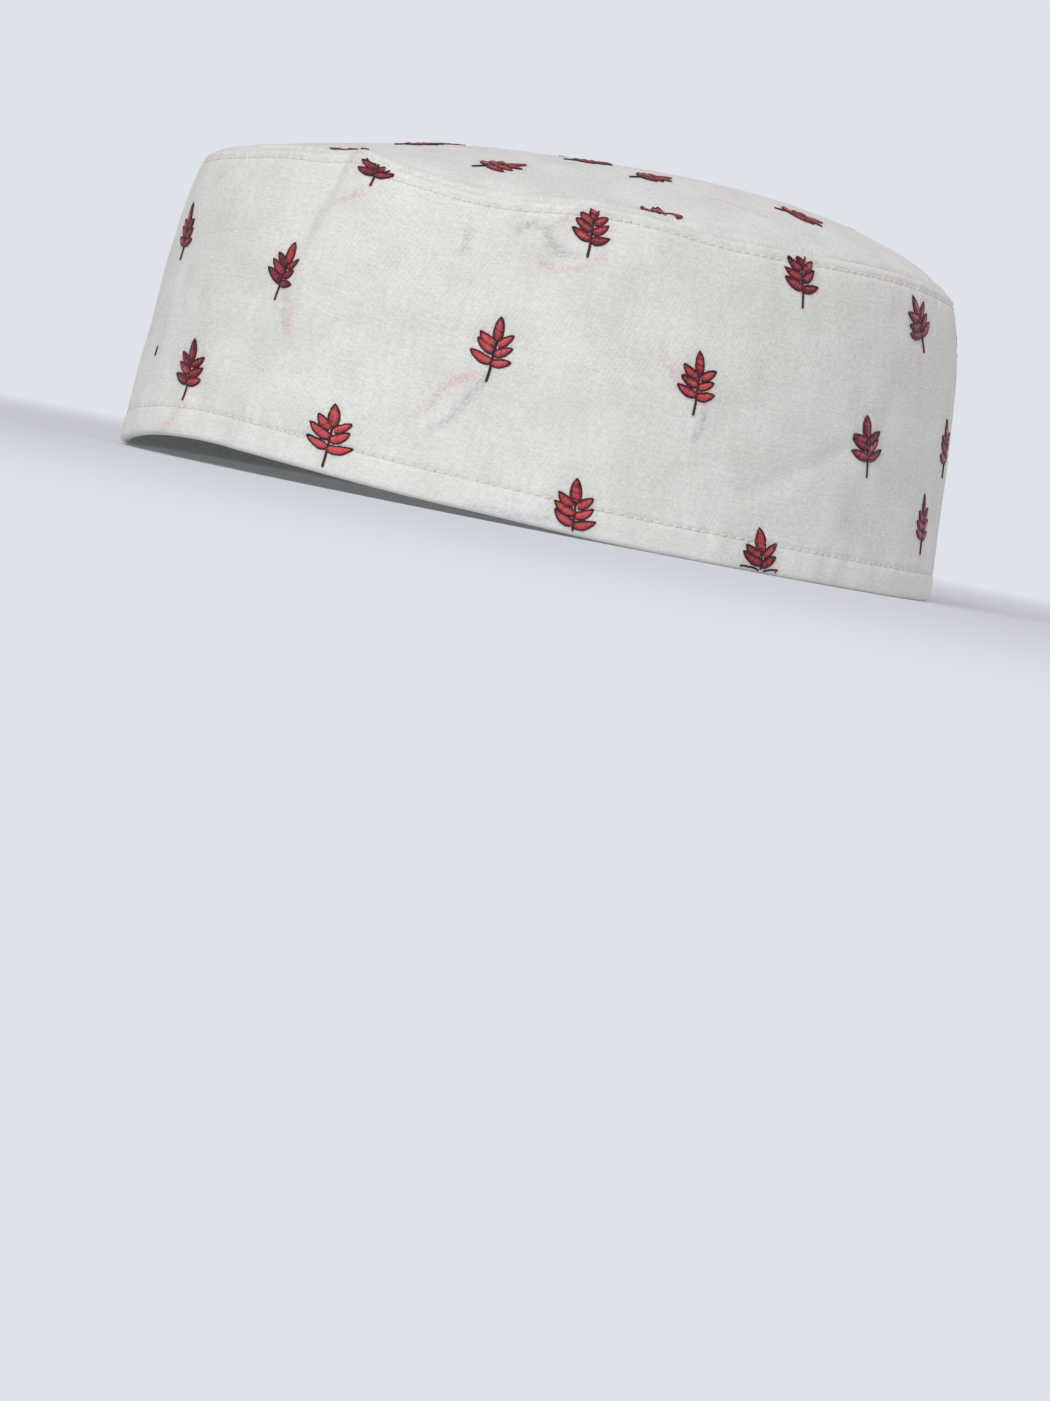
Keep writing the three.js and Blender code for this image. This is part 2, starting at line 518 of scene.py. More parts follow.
@dataclass(frozen=True)
class CottonTwill:
    """Cotton twill: woven, washed, unbleached white, with steep ribs about 1 mm apart.

    Its uneven yarns give a speckled grain, its ribs a faint slant with painted shade in their valleys,
    and its nap a soft edge.
    """

    stitch_pitch: float
    hem_line: float
    seam_line: float
    name: str = "cotton_twill"
    colour: str = "f1f2ed"
    # The colour of the weave's low places: painted shade in the ribs' valleys, and partly the greyer
    # tone of thin yarns.
    valley: str = "d0d0ca"
    fleck: str = "a8957c"
    # Painted shade in the needle holes: the grey of a small dark hole.
    hole: str = "8f8d8a"
    rib_spacing: float = 1.0
    rib_angle: float = 64.0
    rib_depth: float = 0.26
    yarn: tuple[float, float] = (1.6, 0.47)  # thick places, long and tall, along a yarn
    weft_depth: float = 0.88
    warp_depth: float = 0.35
    slub: tuple[float, float] = (14.0, 0.8)
    slub_depth: float = 0.3
    cloud: tuple[float, float] = (13.0, 11.0)
    cloud_depth: float = 0.6
    clear_patch: tuple[float, float] = (45.0, 30.0)  # where the ribs show more
    hole_shade_patch: tuple[float, float] = (5.0, 9.0)  # where the needle holes show more
    fleck_spacing: float = 17.0
    relief: float = 0.16

    MEAN = 0.5  # of an uneven pattern
    CLEAR_MEAN = 0.25  # of the ribs where they show

    def material(self) -> bpy.types.Material:
        """Builds the cloth's material from its flat map in millimetres.

        The yarns are drawn about twice their real size, so that they show.

        Returns:
            The new material.
        """
        made, tree = new_material(self.name)
        flat = add_node(tree, "ShaderNodeUVMap", uv_map=CLOTH_MAP).outputs["UV"]
        turned = add_node(
            tree,
            "ShaderNodeMapping",
            {"Vector": flat, "Rotation": (0, 0, math.radians(90 - self.rib_angle))},
        ).outputs["Vector"]
        ribs = add_node(
            tree,
            "ShaderNodeTexWave",
            {
                "Vector": turned,
                "Scale": WAVE_PERIOD / self.rib_spacing,
                "Distortion": 1.8,
                "Detail": 3,
                "Detail Scale": 1.5,
            },
            bands_direction="X",
        ).outputs["Fac"]
        clear = add_node(
            tree,
            "ShaderNodeMath",
            {0: ribs, 1: self.uneven(tree, flat, self.clear_patch, 1)},
            operation="MULTIPLY",
        ).outputs["Value"]
        patterns = (
            (clear, self.rib_depth, self.CLEAR_MEAN),
            (self.uneven(tree, flat, self.yarn, 2), self.weft_depth, self.MEAN),
            (self.uneven(tree, flat, self.yarn[::-1], 2), self.warp_depth, self.MEAN),
            (self.uneven(tree, flat, self.slub, 2), self.slub_depth, self.MEAN),
            (self.uneven(tree, flat, self.slub[::-1], 2), self.slub_depth, self.MEAN),
            (self.uneven(tree, flat, self.cloud, 2), self.cloud_depth, self.MEAN),
        )
        tone, middle = 0.0, 0.0
        for pattern, weight, mean in patterns:
            tone = add_node(
                tree, "ShaderNodeMath", {0: pattern, 1: weight, 2: tone}, operation="MULTIPLY_ADD"
            ).outputs["Value"]
            middle += weight * mean
        # The colour follows the same heights as the bump: painted shade where the weave lies low,
        # besides the yarns' own uneven tone.
        lit = add_node(
            tree,
            "ShaderNodeMapRange",
            {"Value": tone, "From Min": middle - 0.6, "From Max": middle + 0.4},
        ).outputs["Result"]
        colour = add_node(
            tree,
            "ShaderNodeMix",
            {"Factor": lit, "A": linear(self.valley), "B": linear(self.colour)},
            data_type="RGBA",
        ).outputs[MIXED]
        marked = self.marks(tree, flat, colour, lit)
        bump = add_node(
            tree, "ShaderNodeBump", {"Height": tone, "Strength": 0.6, "Distance": self.relief * MM}
        ).outputs["Normal"]
        shader = add_node(
            tree,
            "ShaderNodeBsdfPrincipled",
            {
                "Base Color": marked,
                "Roughness": 0.92,
                "IOR": 1.5,
                "Specular IOR Level": 0.2,
                "Sheen Weight": 0.2,
                "Sheen Roughness": 0.6,
                "Normal": bump,
            },
        )
        add_node(tree, "ShaderNodeOutputMaterial", {"Surface": shader.outputs["BSDF"]})
        return made

    def uneven(
        self,
        tree: bpy.types.NodeTree,
        flat: bpy.types.NodeSocket,
        spots: tuple[float, float],
        detail: float,
    ) -> bpy.types.NodeSocket:
        """Adds the unevenness of yarns whose thick places are so long and so tall.

        Args:
            tree: The material's node tree.
            flat: The cloth's flat map in millimetres.
            spots: Length and height of the spots in millimetres.
            detail: How many finer layers it has.

        Returns:
            A value around 0.5.
        """
        stretched = add_node(
            tree,
            "ShaderNodeVectorMath",
            {0: flat, 1: (1 / spots[0], 1 / spots[1], 1)},
            operation="MULTIPLY",
        )
        return add_node(
            tree,
            "ShaderNodeTexNoise",
            {"Vector": stretched.outputs["Vector"], "Scale": 1.0, "Detail": detail},
            noise_dimensions="2D",
        ).outputs["Fac"]

    def marks(
        self,
        tree: bpy.types.NodeTree,
        flat: bpy.types.NodeSocket,
        colour: bpy.types.NodeSocket,
        thick: bpy.types.NodeSocket,
    ) -> bpy.types.NodeSocket:
        """Adds what marks the cloth: threads that show through, painted light from the tint, painted
        shade in the needle holes, and seed flecks.

        Args:
            tree: The material's node tree.
            flat: The cloth's flat map in millimetres.
            colour: The bare cloth's colour.
            thick: Where its yarns are thick, 0 to 1, so that less shows through.

        Returns:
            The marked colour.
        """
        # The tint holds threads that show through, and painted light as well.
        tint = add_node(tree, "ShaderNodeVertexColor", layer_name=TINT).outputs["Color"]
        sheer = add_node(
            tree,
            "ShaderNodeMapRange",
            {"Value": thick, "From Min": 0.25, "From Max": 0.8, "To Min": 1.0, "To Max": 0.3},
        ).outputs["Result"]
        tinted = add_node(
            tree,
            "ShaderNodeMix",
            {"Factor": sheer, "A": colour, "B": tint},
            data_type="RGBA",
            blend_type="MULTIPLY",
        ).outputs[MIXED]
        place = add_node(tree, "ShaderNodeSeparateXYZ", {0: flat})
        edges = add_node(tree, "ShaderNodeUVMap", uv_map=EDGE_MAP).outputs["UV"]
        edge = add_node(tree, "ShaderNodeSeparateXYZ", {0: edges})
        along = add_node(
            tree,
            "ShaderNodeMath",
            {0: place.outputs["X"], 1: self.stitch_pitch / 2},
            operation="PINGPONG",
        ).outputs["Value"]
        gaps = []
        for axis, line in (("X", self.hem_line), ("Y", self.seam_line)):
            gap = add_node(
                tree, "ShaderNodeMath", {0: edge.outputs[axis], 1: line}, operation="SUBTRACT"
            ).outputs["Value"]
            gaps.append(add_node(tree, "ShaderNodeMath", {0: gap}, operation="ABSOLUTE"))
        nearest = add_node(
            tree,
            "ShaderNodeMath",
            {i: gap.outputs["Value"] for i, gap in enumerate(gaps)},
            operation="MINIMUM",
        ).outputs["Value"]
        offset = add_node(tree, "ShaderNodeCombineXYZ", {"X": along, "Y": nearest})
        away = add_node(
            tree, "ShaderNodeVectorMath", {0: offset.outputs["Vector"]}, operation="LENGTH"
        ).outputs["Value"]
        pierced = add_node(
            tree,
            "ShaderNodeMapRange",
            {"Value": away, "From Min": 0.15, "From Max": 0.45, "To Min": 0.75, "To Max": 0.0},
            interpolation_type="SMOOTHSTEP",
        ).outputs["Result"]
        # Painted shade in the needle holes, stronger in some patches than in others.
        hole_shade = add_node(
            tree,
            "ShaderNodeMath",
            {0: pierced, 1: self.uneven(tree, flat, self.hole_shade_patch, 1)},
            operation="MULTIPLY",
        ).outputs["Value"]
        sewn = add_node(
            tree,
            "ShaderNodeMix",
            {"Factor": hole_shade, "A": tinted, "B": linear(self.hole)},
            data_type="RGBA",
        ).outputs[MIXED]
        cells = add_node(
            tree,
            "ShaderNodeTexVoronoi",
            {"Vector": flat, "Scale": 1 / self.fleck_spacing, "Randomness": 1.0},
        )
        small = add_node(
            tree,
            "ShaderNodeMapRange",
            {
                "Value": cells.outputs["Distance"],
                "From Min": 0.012,
                "From Max": 0.03,
                "To Min": 0.7,
                "To Max": 0.0,
            },
        ).outputs["Result"]
        return add_node(
            tree,
            "ShaderNodeMix",
            {"Factor": small, "A": sewn, "B": linear(self.fleck)},
            data_type="RGBA",
        ).outputs[MIXED]


@dataclass(frozen=True)
class StrandedThread:
    """Twisted embroidery or sewing thread: spun, dyed, laid in stitches.

    Its plies give fine slanted lines, as bump and as painted shade in their grooves, and its smooth
    fibres a soft shine along each stitch.
    """

    name: str
    deep: str
    bright: str
    roughness: float = 0.5
    sheen: float = 0.1
    shine: float = 0.35
    ply_spacing: float = 0.45
    ply_depth: float = 0.3
    relief: float = 0.05

    def material(self) -> bpy.types.Material:
        """Builds the thread's material; the plies are drawn about twice their real size to show.

        Returns:
            The new material.
        """
        made, tree = new_material(self.name)
        shade = add_node(tree, "ShaderNodeAttribute", attribute_name=SHADE).outputs["Fac"]
        along = add_node(tree, "ShaderNodeUVMap", uv_map=THREAD_MAP).outputs["UV"]
        plies = add_node(
            tree,
            "ShaderNodeTexWave",
            {"Vector": along, "Scale": WAVE_PERIOD / self.ply_spacing, "Distortion": 0.4, "Detail": 1},
            bands_direction="DIAGONAL",
        ).outputs["Fac"]
        # The plies' grooves are painted deeper in colour: painted shade, on top of the bump.
        tone = add_node(
            tree,
            "ShaderNodeMath",
            {0: plies, 1: self.ply_depth, 2: shade},
            operation="MULTIPLY_ADD",
        ).outputs["Value"]
        mixed = add_node(
            tree, "ShaderNodeMapRange", {"Value": tone, "From Min": 0.15, "From Max": 1.15}
        ).outputs["Result"]
        colour = add_node(
            tree,
            "ShaderNodeMix",
            {"Factor": mixed, "A": linear(self.deep), "B": linear(self.bright)},
            data_type="RGBA",
        ).outputs[MIXED]
        bump = add_node(
            tree, "ShaderNodeBump", {"Height": plies, "Strength": 0.5, "Distance": self.relief * MM}
        ).outputs["Normal"]
        shader = add_node(
            tree,
            "ShaderNodeBsdfPrincipled",
            {
                "Base Color": colour,
                "Roughness": self.roughness,
                "IOR": 1.53,
                "Specular IOR Level": self.shine,
                "Sheen Weight": self.sheen,
                "Normal": bump,
            },
        )
        add_node(tree, "ShaderNodeOutputMaterial", {"Surface": shader.outputs["BSDF"]})
        return made


class ThreadWork:
    """Gathers the threads of one colour and writes them as one mesh."""

    SIDES = 6

    def __init__(self) -> None:
        """Starts with no threads."""
        self.points: list[Array] = []
        self.faces: list[Array] = []
        self.maps: list[Array] = []
        self.shades: list[Array] = []
        self.count = 0

    def add(
        self,
        paths: Array,
        normals: Array,
        half_width: float,
        half_height: float,
        shade: Array,
        closed: bool = False,
    ) -> None:
        """Sweeps an oval thread along several paths with the same number of points.

        Args:
            paths: Points, (paths, steps, 3).
            normals: The cloth's outward direction at each point.
            half_width: Half the thread's width along the cloth.
            half_height: Half its height.
            shade: Shades from 0, deep, to 1, bright, for each path or each of its points.
            closed: Whether each path ends where it starts.
        """
        if closed:
            ahead = np.roll(paths, -1, 1) - np.roll(paths, 1, 1)
        else:
            ahead = np.gradient(paths, axis=1)
        ahead = unit(ahead)
        side = unit(np.cross(normals, ahead))
        up = np.cross(ahead, side)
        angle = 2 * np.pi * np.arange(self.SIDES) / self.SIDES
        across = half_width * np.cos(angle)[:, None] * side[:, :, None]
        rings = paths[:, :, None] + across + half_height * np.sin(angle)[:, None] * up[:, :, None]
        number, steps = paths.shape[:2]
        start = self.count + np.arange(number)[:, None, None] * steps * self.SIDES
        step = np.arange(steps if closed else steps - 1)[None, :, None]
        spoke = np.arange(self.SIDES)[None, None, :]
        after, beside = (step + 1) % steps * self.SIDES, (spoke + 1) % self.SIDES
        here = step * self.SIDES
        corners = (start + here + spoke, start + after + spoke)
        corners += (start + after + beside, start + here + beside)
        walls = np.stack(np.broadcast_arrays(*corners), -1).reshape(-1, 4)
        lengths = np.linalg.norm(np.diff(paths, axis=1), axis=2)
        far = np.concatenate([np.zeros((number, 1)), np.cumsum(lengths, 1)], 1)
        if closed:
            far = np.concatenate([far, far[:, -1:] + lengths[:, :1]], 1)
        low, high = far[:, :-1, None], far[:, 1:, None]
        turns = spoke / self.SIDES
        turned = turns + 1 / self.SIDES
        uv = [(low, turns), (high, turns), (high, turned), (low, turned)]
        walls_map = np.stack([np.stack(np.broadcast_arrays(*c), -1) for c in uv], -2).reshape(-1, 2)
        self.points.append(rings.reshape(-1, 3))
        self.faces.append(walls)
        self.maps.append(walls_map)
        shades = np.broadcast_to(shade, (number, steps))
        self.shades.append(np.repeat(shades, self.SIDES, axis=1).ravel())
        if not closed:
            self.cap(start, steps)
        self.count += number * steps * self.SIDES

    def cap(self, start: Array, steps: int) -> None:
        """Closes both ends of open threads with two faces each.

        Args:
            start: Each thread's first vertex.
            steps: Points along each thread.
        """
        first = start.reshape(-1, 1)
        last = first + (steps - 1) * self.SIDES
        ends = [(first, (3, 2, 1, 0)), (first, (5, 4, 3, 0))]
        ends += [(last, (0, 1, 2, 3)), (last, (0, 3, 4, 5))]
        for ring, order in ends:
            self.faces.append(ring + np.array(order))
            self.maps.append(np.zeros((ring.size * len(order), 2)))

    def write(self, name: str, finish: bpy.types.Material, slot: str) -> bpy.types.Object:
        """Writes the threads as one piece that rides on the cap.

        Args:
            name: The piece's name.
            finish: The thread's material.
            slot: Not used.

        Returns:
            The new piece.
        """
        maps = {THREAD_MAP: np.concatenate(self.maps)}
        piece = write_mesh(name, np.concatenate(self.points), self.faces, maps)
        write_values(piece, SHADE, np.concatenate(self.shades))
        piece.data.materials.append(finish)
        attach(piece, BODY)
        LOG.info("%s: %d faces", name, len(piece.data.polygons))
        return piece


class Carry(Enum):
    """How the embroidery threads are carried on behind the cloth, where they show through."""

    NONE = 0
    TRAIL = 1
    LOOP = 2
    HOOK = 3
    DROP = 4
    TAIL = 5
    CURL = 6
    HANG = 7
    RUN = 8


PINK = (0.98, 0.76, 0.74)
GREY = (0.72, 0.7, 0.73)
BLUE = (0.78, 0.8, 0.92)
BACK = (0.88, 0.88, 0.87)
CARRIED: dict[Carry, tuple] = {
    Carry.NONE: (),
    Carry.TRAIL: (
        (PINK, ((-2.1, -6.1), (-5, -7.6), (-8.3, -9.5), (-10.5, -12.5), (-11.9, -15.8))),
        (GREY, ((-0.4, -6.7), (-3.8, -11.6), (-5.4, -16), (-10.7, -20.8))),
    ),
    Carry.LOOP: (
        (GREY, ((-16.3, -3.9), (-13.4, -2), (-10.5, -2.9), (-8.4, -5.7), (-6.3, -7.2), (-2.5, -7))),
        (PINK, ((-5.9, 0.7), (-8.8, -1.7))),
        (PINK, ((-10.1, -10.1), (-7.1, -11), (-3.3, -10.6), (0, -8.9), (3.9, -5.7))),
    ),
    Carry.HOOK: (
        (PINK, ((-10.4, 6.4), (-9.1, 3.4), (-6, 0.2), (-4.3, -1.5))),
        (GREY, ((2.7, -4.5), (2.7, -9), (1.3, -12.6))),
    ),
    Carry.DROP: (
        (PINK, ((2.3, -6.1), (5.7, -7.8), (5.3, -10.9), (5.7, -13.7))),
        (GREY, ((2.6, -9.5), (4.2, -12))),
    ),
    Carry.TAIL: ((PINK, ((-8.5, -9.4), (-5.8, -8.0), (-0.8, -6.0))),),
    Carry.CURL: ((PINK, ((1.1, -8.5), (-0.4, -12.3), (-4.1, -14.4))),),
    Carry.HANG: ((PINK, ((2, -6.9), (2.6, -12.1))),),
    Carry.RUN: ((BLUE, ((-22.8, -3.6), (-17, -3.6), (-10.6, -4.0), (-4.7, -2.8))),),
}


@dataclass(frozen=True)
class Sprig:
    """One embroidered sprig: where its middle lies, how it leans, and what differs from others."""

    across: float
    up: float
    lean: float = 0.0
    carry: Carry = Carry.NONE
    # How bright the sprig's red thread is: partly painted light, and partly a difference at random.
    shade: float = 0.5
    spread: float = 1.0
    tall: float = 1.0

    def flat(self, local: Array) -> Array:
        """Turns places in the sprig into flat places of the cloth.

        Args:
            local: Places in a sprig of the usual size, (..., 2).

        Returns:
            The flat places, (..., 2).
        """
        lean = math.radians(self.lean)
        upright = np.array([math.sin(lean), math.cos(lean)])
        across = np.array([upright[1], -upright[0]])
        local = np.asarray(local, float)
        middle = np.array([self.across, self.up])
        return middle + self.spread * local[..., :1] * across + self.tall * local[..., 1:] * upright


@dataclass(frozen=True)
class Leaf:
    """One leaf of a sprig, from its foot on the stem to its tip."""

    foot: tuple[float, float]
    tip: tuple[float, float]
    width: float


LEAVES = (
    Leaf((0.0, 1.6), (-0.3, 6.2), 2.6),
    Leaf((-0.3, 0.8), (-3.9, 3.0), 1.95),
    Leaf((0.5, 0.6), (4.1, 2.5), 1.85),
    Leaf((-0.1, -1.1), (-4.6, 0.9), 1.9),
    Leaf((0.2, -1.5), (4.2, 0.0), 1.85),
    Leaf((-0.2, -3.3), (-5.1, -1.4), 1.95),
    Leaf((0.1, -3.5), (4.6, -2.7), 1.9),
)
STEM = ((-0.1, -7.7), (0.1, -5.0), (0.0, -2.0), (0.05, 0.6), (0.0, 1.7))


@dataclass(frozen=True)
class LeafShape:
    """One leaf as it is sewn: its length, its width and how it bends."""

    foot: Array
    ahead: Array
    side: Array
    length: float
    width: float
    bend: float

    FULLNESS = 1.05
    FOOT_SHARE = 0.05
    FOOT_POWER = 0.48
    TIP_POWER = 0.74

    def edge(self, along: Array) -> Array:
        """Half the leaf's width at shares of its length.

        Args:
            along: Shares of the leaf's length.

        Returns:
            The half width, widest before the middle: rounded at the foot, and narrower at the tip.
        """
        narrowing = np.maximum(1.0 - along, 0) ** self.TIP_POWER
        return self.FULLNESS * self.width * (along + self.FOOT_SHARE) ** self.FOOT_POWER * narrowing

    def place(self, along: Array, across: Array) -> Array:
        """Places in the sprig.

        Args:
            along: Shares of the leaf's length.
            across: Millimetres to the side of its middle line.

        Returns:
            The places, (..., 2).
        """
        sag = self.bend * 4 * along * (1 - along)
        middle = self.foot + (along * self.length)[..., None] * self.ahead
        return middle + (across - sag)[..., None] * self.side


@dataclass
class SprigWork:
    """Embroiders sprigs: satin stitches for the leaves, and dark lines around them and for the stem."""

    seed: int
    stitch_spacing: float = 0.33
    slant: float = 0.35
    fill_half_width: float = 0.21
    fill_half_height: float = 0.13
    line_half_width: float = 0.23
    line_half_height: float = 0.17
    stem_half_width: float = 0.31
    stem_lift: float = 0.2
    line_lift: float = 0.15
    line_tone: float = 0.35
    line_tone_spread: float = 0.2
    line_wobble: float = 0.05
    overshoot: float = 0.12  # most that a line runs past its leaf's tip, as a share
    pad: float = 0.34  # how far a leaf's middle is padded up
    padded_reach: float = 0.7  # half width from which a leaf is fully padded
    end_gap: float = 0.3
    edge_gap: float = 0.05
    least_reach: float = 0.12
    wander: float = 0.03
    bed: float = 0.02  # how far a stitch's ends stand off the cloth
    leaf_tone_spread: float = 0.16
    stitch_tone_spread: float = 0.2
    # Painted light on the satin: a highlight in each stitch's middle, and shade at its ends and towards
    # the leaf's foot and tip.
    middle_highlight: float = 0.24  # how much brighter a stitch's middle is
    side_shade: float = 0.8
    tip_shade: float = 0.6
    turn_spread: float = 4.5
    lengths: tuple[float, float] = (0.93, 1.09)
    widths: tuple[float, float] = (0.88, 1.08)
    bends: tuple[float, float] = (0.05, 0.4)
    fill: ThreadWork = field(default_factory=ThreadWork)
    line: ThreadWork = field(default_factory=ThreadWork)

    FEWEST = 4  # points that still make a line

    def __post_init__(self) -> None:
        """Seeds the small differences between stitches."""
        self.draw = np.random.default_rng(self.seed)

    def embroider(self, sprig: Sprig, ground: Ground) -> None:
        """Lays one sprig's stitches on the cloth.

        Args:
            sprig: The sprig's place and lean.
            ground: The cloth that it lies on.
        """
        for leaf in LEAVES:
            shape = self.shape(leaf)
            self.leaf_stitches(shape, sprig, ground)
            self.leaf_lines(shape, sprig, ground)
        stem = np.array(STEM)
        steps, knots = np.linspace(0, 1, 16), np.linspace(0, 1, len(stem))
        path = np.stack([np.interp(steps, knots, stem[:, i]) for i in (0, 1)], -1)
        self.lay_line(sprig.flat(path), ground, self.stem_half_width, self.stem_lift)

    def shape(self, leaf: Leaf) -> LeafShape:
        """Draws one leaf's own length, direction and bend.

        Args:
            leaf: The leaf as it was meant.

        Returns:
            The leaf as it is sewn.
        """
        foot, way = np.array(leaf.foot), np.subtract(leaf.tip, leaf.foot)
        angle = math.atan2(way[1], way[0]) + math.radians(self.draw.normal(0, self.turn_spread))
        ahead = np.array([math.cos(angle), math.sin(angle)])
        side = np.array([-ahead[1], ahead[0]])
        length = float(np.hypot(*way)) * self.draw.uniform(*self.lengths)
        leans = abs(way[0]) > 1
        bend = np.sign(way[0]) * self.draw.uniform(*self.bends) if leans else 0.0
        width = leaf.width * self.draw.uniform(*self.widths)
        return LeafShape(foot, ahead, side, length, width, bend)

    def leaf_stitches(self, shape: LeafShape, sprig: Sprig, ground: Ground) -> None:
        """Fills one leaf with slanted satin stitches, with painted shade at their ends and a painted
        highlight in their middles.

        Args:
            shape: The leaf.
            sprig: The sprig that it belongs to.
            ground: The cloth that it lies on.
        """
        along = np.arange(self.end_gap, shape.length - self.end_gap, self.stitch_spacing) / shape.length
        reach = shape.edge(along) - self.edge_gap
        wide = reach > self.least_reach
        along, reach = along[wide], reach[wide]
        across = np.linspace(-1, 1, 5)
        swing = across[None, :] * reach[:, None]
        wander = self.draw.normal(0, self.wander, swing.shape)
        slanted = along[:, None] + (swing * self.slant + wander) / shape.length
        padding = np.minimum(reach / self.padded_reach, 1)[:, None]
        lift = self.bed + self.pad * np.sqrt(np.maximum(1 - across**2, 0)) * padding
        spots = sprig.flat(shape.place(slanted, swing))
        kept = ground.holds(spots).all(1)
        if not kept.any():
            return
        tones = sprig.shade + self.draw.normal(0, self.leaf_tone_spread)
        tones = tones + self.draw.normal(0, self.stitch_tone_spread, len(along))
        # Painted shade towards the leaf's foot and tip and at each stitch's ends, and a painted
        # highlight in each stitch's middle.
        tones = tones - self.tip_shade * (2 * along - 1) ** 4
        tones = tones[:, None] + self.middle_highlight - self.side_shade * across**2
        points, normals = ground.place(spots[kept], lift[kept])
        shades = np.clip(tones[kept], 0, 1)
        self.fill.add(points, normals, self.fill_half_width, self.fill_half_height, shades)

    def leaf_lines(self, shape: LeafShape, sprig: Sprig, ground: Ground) -> None:
        """Outlines one leaf in dark thread, a little past its tip.

        Args:
            shape: The leaf.
            sprig: The sprig that it belongs to.
            ground: The cloth that it lies on.
        """
        out = np.linspace(0, 1, 12)
        for sign in (1, -1):
            past = 1 + self.draw.uniform(0.0, self.overshoot)
            wobble = self.draw.normal(0, self.line_wobble, len(out)) * hump(out - 0.5, 0.5)
            places = shape.place(out * past, sign * shape.edge(out) + wobble)
            self.lay_line(sprig.flat(places), ground, self.line_half_width, self.line_lift)

    def lay_line(self, spots: Array, ground: Ground, half_width: float, lift: float) -> None:
        """Lays one dark line of stitches, cut where the cloth ends.

        Args:
            spots: Flat places along the line.
            ground: The cloth that it lies on.
            half_width: Half the line's width.
            lift: How far its middle stands off the cloth.
        """
        kept = ground.holds(spots)
        if kept.sum() < self.FEWEST:
            return
        points, normals = ground.place(spots[kept], np.full(kept.sum(), lift))
        tone = np.clip(self.draw.normal(self.line_tone, self.line_tone_spread, (1, 1)), 0, 1)
        self.line.add(points[None], normals[None], half_width, self.line_half_height, tone)


class Ground:
    """A face of cloth that stitches lie on."""

    STEP = 0.4  # over which its slope is measured

    def face(self, flat: Array, lift: Array | float = 0.0) -> Array:
        """Points of the face at flat places, raised by a lift."""
        raise NotImplementedError

    def holds(self, flat: Array) -> Array:
        """Whether flat places lie on the face."""
        raise NotImplementedError

    def place(self, flat: Array, lift: Array) -> tuple[Array, Array]:
        """Points raised from the face along its normals.

        Args:
            flat: Flat places, (..., 2).
            lift: How far each point is raised.

        Returns:
            The points and the normals.
        """
        here = self.face(flat)
        right = self.face(flat + np.array([self.STEP, 0])) - here
        above = self.face(flat + np.array([0, self.STEP])) - here
        normals = unit(np.cross(right, above))
        return here + normals * lift[..., None], normals


@dataclass(frozen=True)
class ShownThread:
    """Thread behind the cloth: its colour as a factor, how wide it shows, and its stretches."""

    colour: tuple[float, float, float]
    width: float
    stretches: tuple

    KNOTTED = 1.5  # width of a sprig's knotted back
    CARRIED = 0.95  # width of a carried thread
    REACH = 4.0  # past which nothing shows


def shown_threads(sprigs: tuple[Sprig, ...], loose: tuple) -> list[ShownThread]:
    """Lists the threads that show through the cloth.

    Args:
        sprigs: The sprigs, each with a knotted back of its own and its carried threads.
        loose: Carried threads that belong to no sprig, as (colour, places).

    Returns:
        The threads, in flat places of the cloth.
    """
    shown = []
    for sprig in sprigs:
        knots = [sprig.flat(np.array([leaf.foot, leaf.tip])) for leaf in LEAVES]
        shown.append(ShownThread(BACK, ShownThread.KNOTTED, tuple(knots)))
    carried = list(loose)
    for sprig in sprigs:
        middle = np.array([sprig.across, sprig.up])
        carried += [(colour, middle + np.array(places)) for colour, places in CARRIED[sprig.carry]]
    for colour, places in carried:
        places = np.array(places, float)
        steps = np.linspace(0, len(places) - 1, 6 * len(places))
        knots = np.arange(len(places))
        smooth = np.stack([np.interp(steps, knots, places[:, i]) for i in (0, 1)], -1)
        for _ in range(3):
            smooth[1:-1] = (smooth[:-2] + 2 * smooth[1:-1] + smooth[2:]) / 4
        stretches = tuple(zip(smooth[:-1], smooth[1:]))
        shown.append(ShownThread(colour, ShownThread.CARRIED, stretches))
    return shown


def carried_tint(flat: Array, threads: list[ShownThread]) -> Array:
    """Colours the cloth where threads behind it show through.

    Args:
        flat: Flat places of the cloth's vertices, (n, 2).
        threads: The threads.

    Returns:
        A factor for the cloth's colour at each vertex, (n, 3).
    """
    tint = np.ones((len(flat), 3))
    for thread in threads:
        knots = np.concatenate([np.array(stretch) for stretch in thread.stretches])
        low, high = knots.min(0) - thread.REACH, knots.max(0) + thread.REACH
        near = np.flatnonzero(((flat > low) & (flat < high)).all(1))
        away = np.full(len(near), np.inf)
        for start, end in thread.stretches:
            way = np.subtract(end, start)
            along = np.clip(((flat[near] - start) @ way) / (way @ way), 0, 1)
            nearest = start + along[:, None] * way
            away = np.minimum(away, np.linalg.norm(flat[near] - nearest, axis=1))
        tint[near] *= 1 - bell(away, thread.width)[:, None] * (1 - np.array(thread.colour))
    return tint


